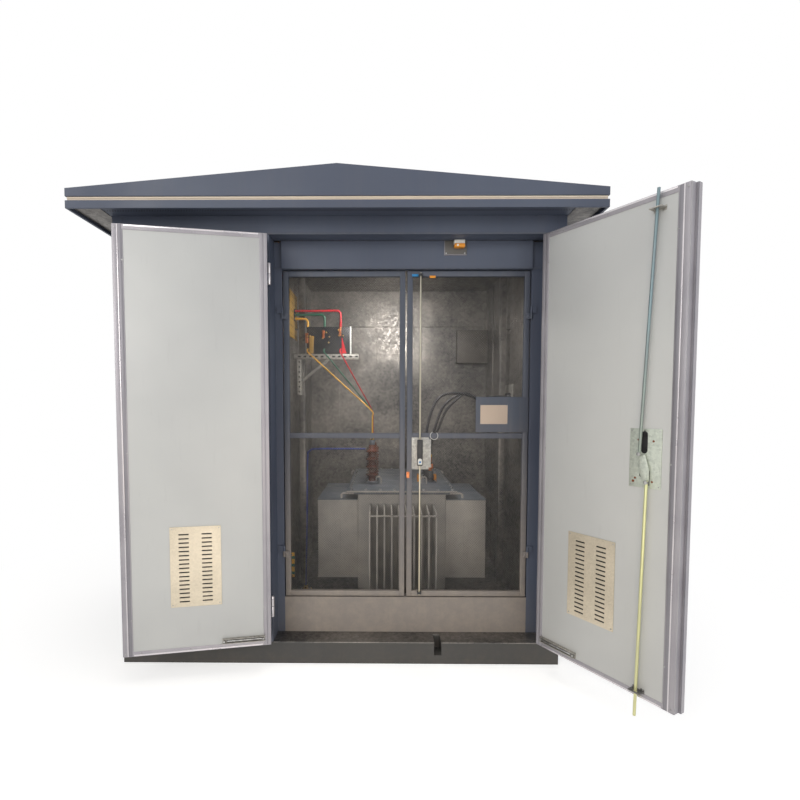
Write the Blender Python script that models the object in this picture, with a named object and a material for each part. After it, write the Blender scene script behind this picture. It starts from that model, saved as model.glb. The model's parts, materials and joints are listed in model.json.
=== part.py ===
"""Compact substation: a steel kiosk with its two front doors open on a transformer room.

Units are metres, +Z is up and the front faces -Y. The origin is on the underside of the base
frame, under the middle of the housing. Every object is one piece of the real assembly. The two
outer doors are modelled closed, under an empty on their hinge line, and the empty is turned to
the angle at which the doors stand open.
"""

from math import cos, pi, radians, sin

import bmesh
import bpy
from mathutils import Matrix, Vector

# Housing
BODY_WIDTH = 2.20
BODY_DEPTH = 1.65
WALL_THICKNESS = 0.05
BASE_HEIGHT = 0.107
BASE_RAIL_WIDTH = 0.12
FLOOR_THICKNESS = 0.005
WALL_TOP = 2.22
LINING_THICKNESS = 0.004
GAP = 0.0003

# Front opening and the frame around it
LEFT_BAY_WIDTH = 0.644
LEFT_JAMB_WIDTH = 0.068
RIGHT_JAMB_WIDTH = 0.030
BEAM_HEIGHT = 0.089
BEAM_DEPTH = 0.05
PARTITION_THICKNESS = 0.04
INNER_FRAME_SETBACK = 0.115
INNER_FRAME_THICKNESS = 0.025
INNER_LEFT_REBATE = 0.038
INNER_RIGHT_REBATE = 0.054
HEADER_HEIGHT = 0.139
HEADER_PANEL_FORWARD = 0.02
KICK_HEIGHT = 0.1874

# Left bay, closed by a leaf of the same make
BAY_LEAF_GAP = 0.004

# Roof
OVERHANG = 0.14
TRAY_DROP = 0.016
TRAY_RISE = 0.020
TRAY_RIM = 0.012
DECK_THICKNESS = 0.012
STRIP_HEIGHT = 0.017
STRIP_SETBACK = 0.006
STRIP_WIDTH = 0.03
CAP_EDGE_HEIGHT = 0.037
CAP_RISE = 0.107
CAP_SHEET = 0.004
CAP_SKIRT = 0.012

# Outer doors
DOOR_THICKNESS = 0.050
LINER_THICKNESS = 0.012
HINGE_FORWARD = 0.012
DOOR_EDGE_GAP = 0.006
DOOR_BOTTOM_GAP = 0.022
DOOR_TOP_GAP = 0.019
MEETING_GAP = 0.006
MEETING_LAP = 0.004
LEFT_DOOR_OPEN = 168.4
RIGHT_DOOR_OPEN = 121.7
KNUCKLE_RADIUS = 0.009
KNUCKLE_LENGTH = 0.034
KNUCKLE_LEAF = 0.004
KNUCKLE_REACH = 0.026
KNUCKLE_CLEARANCE = 0.003
LOW_HINGE_RISE = 0.1657
HIGH_HINGE_DROP = 0.172
VENT_WIDTH = 0.230
VENT_HEIGHT = 0.382
VENT_RISE = 0.4107
VENT_RAISE = 0.002
LEFT_VENT_OFFSET = 0.350
RIGHT_VENT_OFFSET = 0.298

# Lock of the right outer door; insets run back from the line where the two leaves meet
LOCK_PLATE_WIDTH = 0.128
LOCK_PLATE_HEIGHT = 0.233
LOCK_PLATE_RAISE = 0.003
LOCK_INSET = 0.149
LOCK_HEIGHT = 1.062
LOCK_PLATE_RISE = 0.038
CAM_THICKNESS = 0.006
CAM_STANDOFF = 0.005
CAM_HUB_RADIUS = 0.011
CAM_WIDTH = 0.044
CAM_REACH = 0.052
CAM_EAR_STEP = 0.0044
BOLT_RADIUS = 0.006
UPPER_FOOT_INSET = 0.163
UPPER_FOOT_RISE = 0.048
UPPER_TIP_INSET = 0.1165
UPPER_TIP_RISE = 0.010
LOWER_TOP_INSET = 0.131
LOWER_TOP_DROP = 0.047
LOWER_TIP_INSET = 0.152
LOWER_TIP_DROP = 0.0723
GUIDE_SIZE = 0.034
GUIDE_THICKNESS = 0.020
GUIDE_HOLE_RADIUS = 0.0085
UPPER_GUIDE_DROP = 0.064
LOWER_GUIDE_RISE = 0.0307
BOLT_SLOT_WIDTH = 0.036
BOLT_SLOT_SPARE = 0.017

# Inner mesh doors
MESH_STILE = 0.032
MESH_MID_RAIL_RISE = 0.011
MESH_EDGE_GAP = 0.005
MESH_MEETING_GAP = 0.006
MESH_BAR = 0.006
MESH_PITCH = 0.105
MESH_HINGE_FORWARD = 0.008
MESH_KNUCKLE_RADIUS = 0.006
MESH_KNUCKLE_LENGTH = 0.030
MESH_KNUCKLE_CLEARANCE = 0.0025
MESH_LOW_HINGE_RISE = 0.245
MESH_HIGH_HINGE_DROP = 0.217

# Mesh-door lock; offsets run from the middle of the two leaves to the right
LATCH_LEFT = 0.030
LATCH_WIDTH = 0.088
LATCH_DROP = 0.088
LATCH_HEIGHT = 0.166
LATCH_THICKNESS = 0.003
HANDLE_OFFSET = 0.072
HANDLE_CENTRE = 1.063
HANDLE_WIDTH = 0.030
HANDLE_LENGTH = 0.134
HANDLE_THICKNESS = 0.012
HANDLE_HUB_RADIUS = 0.012
MESH_BOLT_RADIUS = 0.0045
MESH_BOLT_PAST_GUIDE = 0.012
MESH_BOLT_INNER = 0.040
MESH_GUIDE_INSET = 0.022
MESH_GUIDE_SIZE = 0.022
MESH_GUIDE_THICKNESS = 0.012
MESH_GUIDE_HOLE = 0.0065
NAME_PANEL_WIDTH = 0.270
NAME_PANEL_HEIGHT = 0.182
NAME_PANEL_THICKNESS = 0.003

# Transformer; it stands in the room between the partition and the right wall
TANK_SHIFT = -0.01385
TANK_WIDTH = 0.520
TANK_HEIGHT = 0.582
TANK_REAR_CLEARANCE = 0.2057
SKID_HEIGHT = 0.1024
SKID_WIDTH = 0.060
SKID_SPACING = 0.400
SKID_BITE = 0.030
LID_OVERHANG = 0.065
LID_FRONT_OVERHANG = 0.035
LID_THICKNESS = 0.012
FIN_THICKNESS = 0.009
FIN_WEB = 0.004
FRONT_FIN_COUNT = 10
FRONT_FIN_PITCH = 0.041
FRONT_FIN_DEPTH = 0.200
FRONT_FIN_CLEARANCE = 0.115
FRONT_FIN_FOOT = 0.040
FRONT_FIN_HEAD = 0.069
REAR_FIN_CLEARANCE = 0.035
SIDE_FIN_COUNT = 14
SIDE_FIN_PITCH = 0.045
SIDE_FIN_DEPTH = 0.236
SIDE_FIN_FOOT = 0.068
SIDE_FIN_HEAD = 0.045
SIDE_FIN_FIRST = 0.008
HV_BUSHING_OFFSET = -0.179
HV_BUSHING_Y = (-0.135, 0.0, 0.135)
HV_BUSHING_RADIUS = 0.026
HV_FOOT_HEIGHT = 0.0183
HV_SHED_RADIUS = 0.042
HV_SHED_COUNT = 4
HV_SHED_START = 0.0427
HV_SHED_PITCH = 0.0488
HV_SHED_RISE = 0.02196
HV_SHED_FALL = 0.02684
HV_NECK_STEP = 0.0061
HV_NECK_RADIUS = 0.0208
HV_STEM_RADIUS = 0.0104
HV_STEM_LENGTH = 0.0549
LV_BUSHING_OFFSET = 0.194
LV_BUSHING_Y = (-0.08, 0.04, 0.16, 0.28)
LV_BUSHING_HEIGHT = 0.120
LV_BUSHING_RADIUS = 0.022
LV_FLANGE_WIDTH = 0.075
LV_FLANGE_THICKNESS = 0.006

# High-voltage bracket, bars and conductors; offsets run from the partition's face
BRACKET_FRONT = -0.050
BRACKET_DEPTH = 0.040
BRACKET_TOP = 1.636
BRACKET_DROP = 0.034
BRACKET_REACH = 0.421
UPRIGHT_OFFSET = 0.024
UPRIGHT_WIDTH = 0.032
UPRIGHT_DROP = 0.263
BRACE_FOOT_OFFSET = 0.048
BRACE_FOOT_DROP = 0.181
BRACE_HEAD_OFFSET = 0.251
BRACE_HEAD_DROP = 0.016
BRACE_WIDTH = 0.022
BRACE_INSET = 0.005
BOARD_OFFSET = 0.087
BOARD_WIDTH = 0.284
BOARD_HEIGHT = 0.175
BOARD_THICKNESS = 0.014
BAR_RADIUS = 0.0075
BAR_OFFSETS = {"yellow": 0.095, "green": 0.202, "red": 0.306}
BAR_RISES = {"yellow": 0.051, "green": 0.077, "red": 0.102}
CONDUCTOR_RADIUS = 0.004
CONDUCTOR_RISE = 0.032
CONDUCTOR_KINK_RISE = 0.160
BLUE_RADIUS = 0.006
BLUE_DROP = 0.0846
BLUE_OFFSET = 0.104
BLUE_FOOT_DRIFT = -0.018

# Low-voltage cables
CABLE_RADIUS = 0.009
CABLE_COUNT = 3
CABLE_ARCH = 0.025
CABLE_ENTRY_HEIGHT = 1.360
CABLE_SPACING = 0.060
CABLE_SHARES = (0.0, 0.0933, 0.3461, 0.6230)
CABLE_LEANS = (-0.022, 0.038, 0.074)
CABLE_LEAN_HEIGHT = 1.145
CABLE_RISE_DROP = 0.039
CABLE_LAG = 0.65
GLAND_PLATE_HEIGHT = 0.16
GLAND_PLATE_DEPTH = 0.26
GLAND_PLATE_THICKNESS = 0.005

# Door-limit switch on the header
SWITCH_PLATE_INSET = 0.500
SWITCH_PLATE_WIDTH = 0.113
SWITCH_PLATE_HEIGHT = 0.0724
SWITCH_PLATE_THICKNESS = 0.003
SWITCH_PLATE_DROP = 0.0006

# Making the shapes
CUT_PAST = 1.0
MERGE_DISTANCE = 1e-5

# Worked out from the sizes above
BODY_HALF_WIDTH = BODY_WIDTH / 2
FRONT = -BODY_DEPTH / 2
REAR = BODY_DEPTH / 2
INSIDE_LEFT = -BODY_HALF_WIDTH + WALL_THICKNESS
INSIDE_RIGHT = BODY_HALF_WIDTH - WALL_THICKNESS
INSIDE_REAR = REAR - WALL_THICKNESS
FLOOR_BOTTOM = BASE_HEIGHT + GAP
FLOOR_TOP = FLOOR_BOTTOM + FLOOR_THICKNESS
STANDING = FLOOR_TOP + GAP
ROOF_UNDERSIDE = WALL_TOP + GAP
TRAY_BOTTOM = WALL_TOP - TRAY_DROP
TRAY_TOP = WALL_TOP + TRAY_RISE
PARTITION_LEFT = INSIDE_LEFT + LEFT_BAY_WIDTH
PARTITION_RIGHT = PARTITION_LEFT + PARTITION_THICKNESS
OPENING_LEFT = PARTITION_LEFT + LEFT_JAMB_WIDTH
OPENING_RIGHT = INSIDE_RIGHT - RIGHT_JAMB_WIDTH
OPENING_TOP = WALL_TOP - BEAM_HEIGHT
OPENING_MIDDLE = (OPENING_LEFT + OPENING_RIGHT) / 2
HALF_OPENING = (OPENING_RIGHT - OPENING_LEFT) / 2
INNER_PLANE = FRONT + INNER_FRAME_SETBACK
INNER_BACK = INNER_PLANE + INNER_FRAME_THICKNESS
INNER_LEFT = OPENING_LEFT + INNER_LEFT_REBATE
INNER_RIGHT = OPENING_RIGHT - INNER_RIGHT_REBATE
INNER_TOP = OPENING_TOP - HEADER_HEIGHT
INNER_MIDDLE = (INNER_LEFT + INNER_RIGHT) / 2
HALF_INNER = (INNER_RIGHT - INNER_LEFT) / 2
KICK_TOP = STANDING + KICK_HEIGHT
HINGE_LINE_Y = FRONT - HINGE_FORWARD
DOOR_FRONT = HINGE_FORWARD
DOOR_BACK = HINGE_FORWARD + DOOR_THICKNESS
LINER_FRONT = DOOR_BACK - LINER_THICKNESS + GAP
DOOR_BOTTOM = FLOOR_TOP + DOOR_BOTTOM_GAP
DOOR_TOP = OPENING_TOP - DOOR_TOP_GAP
DOOR_HINGE_HEIGHTS = (DOOR_BOTTOM + LOW_HINGE_RISE, DOOR_TOP - HIGH_HINGE_DROP)
VENT_CENTRE_HEIGHT = DOOR_BOTTOM + VENT_RISE
LOCK_OFFSET = HALF_OPENING - LOCK_INSET
UPPER_BOLT_FOOT = (HALF_OPENING - UPPER_FOOT_INSET, LOCK_HEIGHT + UPPER_FOOT_RISE)
UPPER_BOLT_TIP = (HALF_OPENING - UPPER_TIP_INSET, DOOR_TOP + UPPER_TIP_RISE)
LOWER_BOLT_TOP = (HALF_OPENING - LOWER_TOP_INSET, LOCK_HEIGHT - LOWER_TOP_DROP)
LOWER_BOLT_TIP = (HALF_OPENING - LOWER_TIP_INSET, DOOR_BOTTOM - LOWER_TIP_DROP)
UPPER_GUIDE_HEIGHT = DOOR_TOP - UPPER_GUIDE_DROP
LOWER_GUIDE_HEIGHT = DOOR_BOTTOM + LOWER_GUIDE_RISE
BOLT_SLOT_FLOOR = LOWER_BOLT_TIP[1] - BOLT_SLOT_SPARE
BOLT_LAYER = DOOR_BACK + LOCK_PLATE_RAISE + CAM_STANDOFF + CAM_THICKNESS + GAP + BOLT_RADIUS
MESH_HINGE_Y = INNER_PLANE - MESH_HINGE_FORWARD
MESH_BOTTOM = KICK_TOP + MESH_EDGE_GAP
MESH_TOP = INNER_TOP - MESH_EDGE_GAP
MESH_HINGE_HEIGHTS = (KICK_TOP + MESH_LOW_HINGE_RISE, INNER_TOP - MESH_HIGH_HINGE_DROP)
MESH_GUIDE_HEIGHTS = (MESH_BOTTOM + MESH_GUIDE_INSET, MESH_TOP - MESH_GUIDE_INSET)
LATCH_BOTTOM = HANDLE_CENTRE - LATCH_DROP
MESH_MID_RAIL_CENTRE = LATCH_BOTTOM + LATCH_HEIGHT + MESH_MID_RAIL_RISE
ROOM_WALL_X = INSIDE_RIGHT - GAP - LINING_THICKNESS
ROOM_REAR_Y = INSIDE_REAR - GAP - LINING_THICKNESS
TANK_CENTRE_X = (PARTITION_RIGHT + ROOM_WALL_X) / 2 + TANK_SHIFT
TANK_LEFT = TANK_CENTRE_X - TANK_WIDTH / 2
TANK_RIGHT = TANK_CENTRE_X + TANK_WIDTH / 2
TANK_FRONT = INNER_BACK + FRONT_FIN_CLEARANCE + FRONT_FIN_DEPTH
TANK_REAR = ROOM_REAR_Y - TANK_REAR_CLEARANCE
TANK_BOTTOM = STANDING + SKID_HEIGHT
TANK_TOP = TANK_BOTTOM + TANK_HEIGHT
LID_BOTTOM = TANK_TOP + GAP
LID_TOP = LID_BOTTOM + LID_THICKNESS
BUSHING_FOOT = LID_TOP + GAP
HV_BUSHING_X = TANK_CENTRE_X + HV_BUSHING_OFFSET
HV_NECK_HEIGHT = HV_SHED_START + HV_SHED_COUNT * HV_SHED_PITCH + HV_NECK_STEP
HV_BUSHING_HEIGHT = HV_NECK_HEIGHT + HV_NECK_STEP + HV_STEM_LENGTH
LV_BUSHING_X = TANK_CENTRE_X + LV_BUSHING_OFFSET
BOARD_TOP = BRACKET_TOP + BOARD_HEIGHT
BLUE_HEIGHT = BUSHING_FOOT + HV_BUSHING_HEIGHT - BLUE_DROP
BLUE_COLUMN = PARTITION_RIGHT + BLUE_OFFSET

# Colours, roughness and metallic value of each finish
FINISHES = {
    "housing_paint": ((0.069, 0.080, 0.112), 0.45, 0.0),
    "liner_sheet": ((0.55, 0.55, 0.53), 0.5, 0.0),
    "galvanised": ((0.35, 0.34, 0.33), 0.4, 0.8),
    "eave_strip": ((0.75, 0.68, 0.58), 0.5, 0.0),
    "transformer_grey": ((0.24, 0.23, 0.22), 0.5, 0.0),
    "porcelain": ((0.18, 0.06, 0.03), 0.25, 0.0),
    "black_plastic": ((0.018, 0.018, 0.02), 0.5, 0.0),
    "copper_orange": ((0.55, 0.22, 0.08), 0.35, 0.6),
    "zinc_rod": ((0.55, 0.56, 0.35), 0.3, 0.9),
    "phase_red": ((0.55, 0.03, 0.04), 0.4, 0.0),
    "phase_green": ((0.03, 0.16, 0.10), 0.4, 0.0),
    "phase_yellow": ((0.60, 0.33, 0.03), 0.4, 0.0),
    "phase_blue": ((0.02, 0.04, 0.22), 0.4, 0.0),
}


def clear_scene():
    """Remove what the start-up file holds."""
    for thing in list(bpy.data.objects):
        bpy.data.objects.remove(thing, do_unlink=True)


def finish(name):
    """Return the material of one finish, making it the first time."""
    material = bpy.data.materials.get(name)
    if material is None:
        colour, roughness, metallic = FINISHES[name]
        material = bpy.data.materials.new(name)
        material.use_nodes = True
        shader = material.node_tree.nodes["Principled BSDF"]
        shader.inputs["Base Color"].default_value = (*colour, 1.0)
        shader.inputs["Roughness"].default_value = roughness
        shader.inputs["Metallic"].default_value = metallic
    return material


def add_piece(name, mesh_builder, finish_name, parent=None):
    """Turn a bmesh into a named object with its finish."""
    bmesh.ops.recalc_face_normals(mesh_builder, faces=mesh_builder.faces)
    mesh = bpy.data.meshes.new(name)
    mesh_builder.to_mesh(mesh)
    mesh_builder.free()
    piece = bpy.data.objects.new(name, mesh)
    bpy.context.scene.collection.objects.link(piece)
    piece.data.materials.append(finish(finish_name))
    piece.parent = parent
    return piece


def add_box(name, low, high, finish_name, parent=None):
    """A plain box between two corners."""
    shape = bmesh.new()
    bmesh.ops.create_cube(shape, size=1.0)
    size = Vector(high) - Vector(low)
    middle = (Vector(high) + Vector(low)) / 2
    place = Matrix.Translation(middle) @ Matrix.Diagonal((*size, 1.0))
    bmesh.ops.transform(shape, matrix=place, verts=shape.verts)
    return add_piece(name, shape, finish_name, parent)


def add_prism(name, outline, axis, low, high, finish_name, parent=None):
    """An outline drawn across an axis and extruded along it from low to high."""
    order = {"Y": (0, 2, 1), "Z": (0, 1, 2)}[axis]
    shape = bmesh.new()
    corners = []
    for point in outline:
        values = (point[0], point[1], low)
        corners.append(shape.verts.new([values[place] for place in order]))
    face = shape.faces.new(corners)
    grown = bmesh.ops.extrude_face_region(shape, geom=[face])
    step = Vector([(0.0, 0.0, high - low)[place] for place in order])
    moved = [item for item in grown["geom"] if isinstance(item, bmesh.types.BMVert)]
    bmesh.ops.translate(shape, vec=step, verts=moved)
    return add_piece(name, shape, finish_name, parent)


def add_rod(name, start, end, radius, finish_name, parent=None, sides=12):
    """A round bar between two points."""
    start, end = Vector(start), Vector(end)
    along = end - start
    shape = bmesh.new()
    bmesh.ops.create_cone(
        shape, cap_ends=True, segments=sides, radius1=radius, radius2=radius, depth=along.length
    )
    turn = along.to_track_quat("Z", "Y").to_matrix().to_4x4()
    place = Matrix.Translation((start + end) / 2) @ turn
    bmesh.ops.transform(shape, matrix=place, verts=shape.verts)
    return add_piece(name, shape, finish_name, parent)


def add_turned(name, profile, centre, finish_name, parent=None, sides=16):
    """A turned piece: radius and height pairs, from foot to top, spun about a vertical line."""
    shape = bmesh.new()
    points = [(0.0, profile[0][1])] + list(profile) + [(0.0, profile[-1][1])]
    line = [shape.verts.new((centre[0] + r, centre[1], centre[2] + z)) for r, z in points]
    edges = [shape.edges.new(pair) for pair in zip(line, line[1:])]
    bmesh.ops.spin(
        shape, geom=line + edges, cent=centre, axis=(0, 0, 1),
        angle=2 * pi, steps=sides, use_merge=True, use_duplicate=False,
    )
    bmesh.ops.remove_doubles(shape, verts=shape.verts, dist=MERGE_DISTANCE)
    return add_piece(name, shape, finish_name, parent)


def smooth_route(stations, spacing):
    """Points of a smooth curve through the stations, about one spacing apart."""
    ends = [2 * stations[0] - stations[1]] + stations + [2 * stations[-1] - stations[-2]]
    points = []
    for before, start, end, after in zip(ends, ends[1:], ends[2:], ends[3:]):
        steps = max(1, round((end - start).length / spacing))
        for step in range(steps):
            t = step / steps
            points.append(
                0.5 * (2 * start + (end - before) * t
                       + (2 * before - 5 * start + 4 * end - after) * t * t
                       + (3 * start - before - 3 * end + after) * t ** 3)
            )
    points.append(stations[-1])
    return points


def add_tube(name, stations, radius, finish_name, spacing=None, resolution=2):
    """A cable or a bent round bar, straight for two radii at its ends, which are filled."""
    stations = [Vector(point) for point in stations]
    first = stations[0] + (stations[1] - stations[0]).normalized() * 2 * radius
    last = stations[-1] + (stations[-2] - stations[-1]).normalized() * 2 * radius
    stations = [stations[0], first] + stations[1:-1] + [last, stations[-1]]
    route = smooth_route(stations, spacing or 3 * radius)
    curve = bpy.data.curves.new(name, "CURVE")
    curve.dimensions = "3D"
    curve.bevel_depth = radius
    curve.bevel_resolution = resolution
    curve.use_fill_caps = True
    line = curve.splines.new("POLY")
    line.points.add(len(route) - 1)
    for slot, point in zip(line.points, route):
        slot.co = (*point, 1.0)
    piece = bpy.data.objects.new(name, curve)
    bpy.context.scene.collection.objects.link(piece)
    curve.materials.append(finish(finish_name))
    return piece


def combine(piece, tool, operation):
    """Join a tool to a piece, or cut it away, with an exact Boolean."""
    modifier = piece.modifiers.new(operation.lower(), "BOOLEAN")
    modifier.operation = operation
    modifier.object = tool
    modifier.solver = "EXACT"
    tool.hide_render = True
    tool.display_type = "WIRE"


def add_pivot(name, place, degrees=0.0, parent=None):
    """An empty on a joint's line, turned about the vertical."""
    pivot = bpy.data.objects.new(name, None)
    bpy.context.scene.collection.objects.link(pivot)
    pivot.location = place
    pivot.rotation_euler = (0.0, 0.0, radians(degrees))
    pivot.parent = parent
    return pivot


def build_base():
    """Ring of channels with a cross-member in the middle, and the floor plate on it."""
    inner_x = BODY_HALF_WIDTH - BASE_RAIL_WIDTH
    inner_y = BODY_DEPTH / 2 - BASE_RAIL_WIDTH
    half_member = BASE_RAIL_WIDTH / 2
    base = add_box(
        "base_frame",
        (-BODY_HALF_WIDTH, FRONT, 0),
        (BODY_HALF_WIDTH, REAR, BASE_HEIGHT),
        "housing_paint",
    )
    for side in (-1, 1):
        near, far = sorted((side * half_member, side * inner_x))
        low, high = (near, -inner_y, -CUT_PAST), (far, inner_y, CUT_PAST)
        bay = add_box(f"base_bay_{side}", low, high, "housing_paint")
        combine(base, bay, "DIFFERENCE")
    floor = add_box(
        "floor_plate",
        (INSIDE_LEFT, FRONT, FLOOR_BOTTOM),
        (INSIDE_RIGHT, INSIDE_REAR, FLOOR_TOP),
        "galvanised",
    )
    slot_x = OPENING_RIGHT - LOWER_BOLT_TIP[0]
    half_slot = BOLT_SLOT_WIDTH / 2
    slot_back = HINGE_LINE_Y + BOLT_LAYER + half_slot
    slot = add_box(
        "bolt_slot",
        (slot_x - half_slot, FRONT - WALL_THICKNESS, BOLT_SLOT_FLOOR),
        (slot_x + half_slot, slot_back, FLOOR_TOP + WALL_THICKNESS),
        "housing_paint",
    )
    combine(base, slot, "DIFFERENCE")
    combine(floor, slot, "DIFFERENCE")


def build_walls():
    """Outer walls, with their corner returns, and the leaf that closes the left bay."""
    wall_bottom = BASE_HEIGHT + GAP
    add_box(
        "left_wall",
        (-BODY_HALF_WIDTH, FRONT, wall_bottom),
        (INSIDE_LEFT - GAP, REAR, WALL_TOP),
        "housing_paint",
    )
    add_box(
        "right_wall",
        (INSIDE_RIGHT + GAP, FRONT, wall_bottom),
        (BODY_HALF_WIDTH, REAR, WALL_TOP),
        "housing_paint",
    )
    add_box(
        "rear_wall",
        (INSIDE_LEFT, INSIDE_REAR + GAP, wall_bottom),
        (INSIDE_RIGHT, REAR, WALL_TOP),
        "housing_paint",
    )
    add_box(
        "left_bay_door",
        (INSIDE_LEFT + BAY_LEAF_GAP, FRONT, DOOR_BOTTOM),
        (PARTITION_LEFT - GAP, FRONT + DOOR_THICKNESS, OPENING_TOP - GAP),
        "housing_paint",
    )
    add_box(
        "front_beam",
        (INSIDE_LEFT, FRONT, OPENING_TOP),
        (INSIDE_RIGHT, FRONT + BEAM_DEPTH, WALL_TOP),
        "housing_paint",
    )
    add_box(
        "partition",
        (PARTITION_LEFT, INNER_BACK + GAP, STANDING),
        (PARTITION_RIGHT, ROOM_REAR_Y - GAP, WALL_TOP),
        "galvanised",
    )
    add_box(
        "right_lining",
        (ROOM_WALL_X, INNER_BACK + GAP, STANDING),
        (INSIDE_RIGHT - GAP, ROOM_REAR_Y - GAP, WALL_TOP),
        "galvanised",
    )
    add_box(
        "back_lining",
        (INSIDE_LEFT, ROOM_REAR_Y, STANDING),
        (INSIDE_RIGHT, INSIDE_REAR, WALL_TOP),
        "galvanised",
    )


def hinge_half(name, side, height, joined_to, parent=None):
    """One knuckle pair of an outer hinge, fused to the jamb or to the leaf that carries it."""
    along = 1 if parent is None else -1
    bottom = height if along > 0 else height - KNUCKLE_LENGTH - GAP
    x, y = (side * HALF_OPENING + OPENING_MIDDLE, HINGE_LINE_Y) if parent is None else (0.0, 0.0)
    top = bottom + KNUCKLE_LENGTH
    barrel = add_rod(
        f"{name}_barrel", (x, y, bottom), (x, y, top), KNUCKLE_RADIUS, "housing_paint", parent
    )
    start = x if parent is None else side * along * KNUCKLE_CLEARANCE
    near, far = sorted((start, x + side * along * KNUCKLE_REACH))
    strap = add_box(
        f"{name}_strap",
        (near, y - KNUCKLE_LEAF / 2, bottom),
        (far, y + HINGE_FORWARD + KNUCKLE_LEAF, top),
        "housing_paint",
        parent,
    )
    combine(joined_to, barrel, "UNION")
    combine(joined_to, strap, "UNION")


def build_front_frame():
    """Jambs, header and kick panel around the doorway."""
    left_outline = [
        (PARTITION_LEFT, FRONT),
        (OPENING_LEFT, FRONT),
        (OPENING_LEFT, INNER_PLANE),
        (INNER_LEFT, INNER_PLANE),
        (INNER_LEFT, INNER_BACK),
        (PARTITION_LEFT, INNER_BACK),
    ]
    right_outline = [
        (OPENING_RIGHT, FRONT),
        (INSIDE_RIGHT, FRONT),
        (INSIDE_RIGHT, INNER_BACK),
        (INNER_RIGHT, INNER_BACK),
        (INNER_RIGHT, INNER_PLANE),
        (OPENING_RIGHT, INNER_PLANE),
    ]
    left_jamb = add_prism("left_jamb", left_outline, "Z", STANDING, OPENING_TOP - GAP, "housing_paint")
    right_jamb = add_prism("right_jamb", right_outline, "Z", STANDING, OPENING_TOP - GAP, "housing_paint")
    for index, height in enumerate(DOOR_HINGE_HEIGHTS):
        hinge_half(f"left_jamb_hinge_{index}", -1, height, left_jamb)
        hinge_half(f"right_jamb_hinge_{index}", 1, height, right_jamb)
    for index, height in enumerate(MESH_HINGE_HEIGHTS):
        mesh_hinge_half(f"left_jamb_mesh_hinge_{index}", -1, height, left_jamb)
        mesh_hinge_half(f"right_jamb_mesh_hinge_{index}", 1, height, right_jamb)
    add_box(
        "header_panel",
        (INNER_LEFT + GAP, INNER_PLANE - HEADER_PANEL_FORWARD, INNER_TOP),
        (INNER_RIGHT - GAP, INNER_BACK, OPENING_TOP - GAP),
        "housing_paint",
    )
    add_box(
        "kick_panel",
        (INNER_LEFT + GAP, INNER_PLANE, STANDING),
        (INNER_RIGHT - GAP, INNER_BACK, KICK_TOP),
        "housing_paint",
    )


def build_roof():
    """Tray with its rim, pale strip, and the sheet-metal gable cap."""
    half_x = BODY_HALF_WIDTH + OVERHANG
    half_y = BODY_DEPTH / 2 + OVERHANG
    low, high = (-half_x, -half_y, TRAY_BOTTOM), (half_x, half_y, TRAY_TOP)
    tray = add_box("roof_tray", low, high, "housing_paint")
    rim_x, rim_y = half_x - TRAY_RIM, half_y - TRAY_RIM
    under = add_box("tray_under", (-rim_x, -rim_y, 0), (rim_x, rim_y, ROOF_UNDERSIDE), "housing_paint")
    deck_top = ROOF_UNDERSIDE + DECK_THICKNESS
    low, high = (-rim_x, -rim_y, deck_top), (rim_x, rim_y, deck_top + CUT_PAST)
    over = add_box("tray_over", low, high, "housing_paint")
    combine(tray, under, "DIFFERENCE")
    combine(tray, over, "DIFFERENCE")
    strip_low = TRAY_TOP + GAP
    strip_high = strip_low + STRIP_HEIGHT
    strip_x, strip_y = half_x - STRIP_SETBACK, half_y - STRIP_SETBACK
    low, high = (-strip_x, -strip_y, strip_low), (strip_x, strip_y, strip_high)
    strip = add_box("eave_strip", low, high, "eave_strip")
    hole_x, hole_y = strip_x - STRIP_WIDTH, strip_y - STRIP_WIDTH
    low, high = (-hole_x, -hole_y, 0), (hole_x, hole_y, strip_high + CUT_PAST)
    hole = add_box("strip_hole", low, high, "eave_strip")
    combine(strip, hole, "DIFFERENCE")
    cap_low = strip_high + GAP
    cap_edge = cap_low + CAP_EDGE_HEIGHT
    outside = [
        (-half_x, cap_low),
        (half_x, cap_low),
        (half_x, cap_edge),
        (0, cap_edge + CAP_RISE),
        (-half_x, cap_edge),
    ]
    cap = add_prism("roof_cap", outside, "Y", -half_y, half_y, "housing_paint")
    hollow_x = half_x - CAP_SKIRT
    hollow_y = half_y - CAP_SKIRT
    hollow = [
        (-hollow_x, cap_low - CUT_PAST),
        (hollow_x, cap_low - CUT_PAST),
        (hollow_x, cap_edge - CAP_SHEET),
        (0, cap_edge + CAP_RISE - CAP_SHEET),
        (-hollow_x, cap_edge - CAP_SHEET),
    ]
    inside = add_prism("cap_inside", hollow, "Y", -hollow_y, hollow_y, "housing_paint")
    combine(cap, inside, "DIFFERENCE")


def leaf_outline(side, lap_in_front):
    """Plan of a closed outer leaf; the two leaves lap at their meeting edge."""
    near = side * DOOR_EDGE_GAP
    half_lap = MEETING_LAP / 2
    front_reach = HALF_OPENING + (half_lap if lap_in_front else -half_lap - MEETING_GAP)
    back_reach = HALF_OPENING + (-half_lap - MEETING_GAP if lap_in_front else half_lap)
    step = DOOR_FRONT + DOOR_THICKNESS / 2 + (-MEETING_GAP / 2 if lap_in_front else MEETING_GAP / 2)
    back = LINER_FRONT - GAP
    return [
        (near, DOOR_FRONT),
        (side * front_reach, DOOR_FRONT),
        (side * front_reach, step),
        (side * back_reach, step),
        (side * back_reach, back),
        (near, back),
    ], abs(back_reach)


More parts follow.
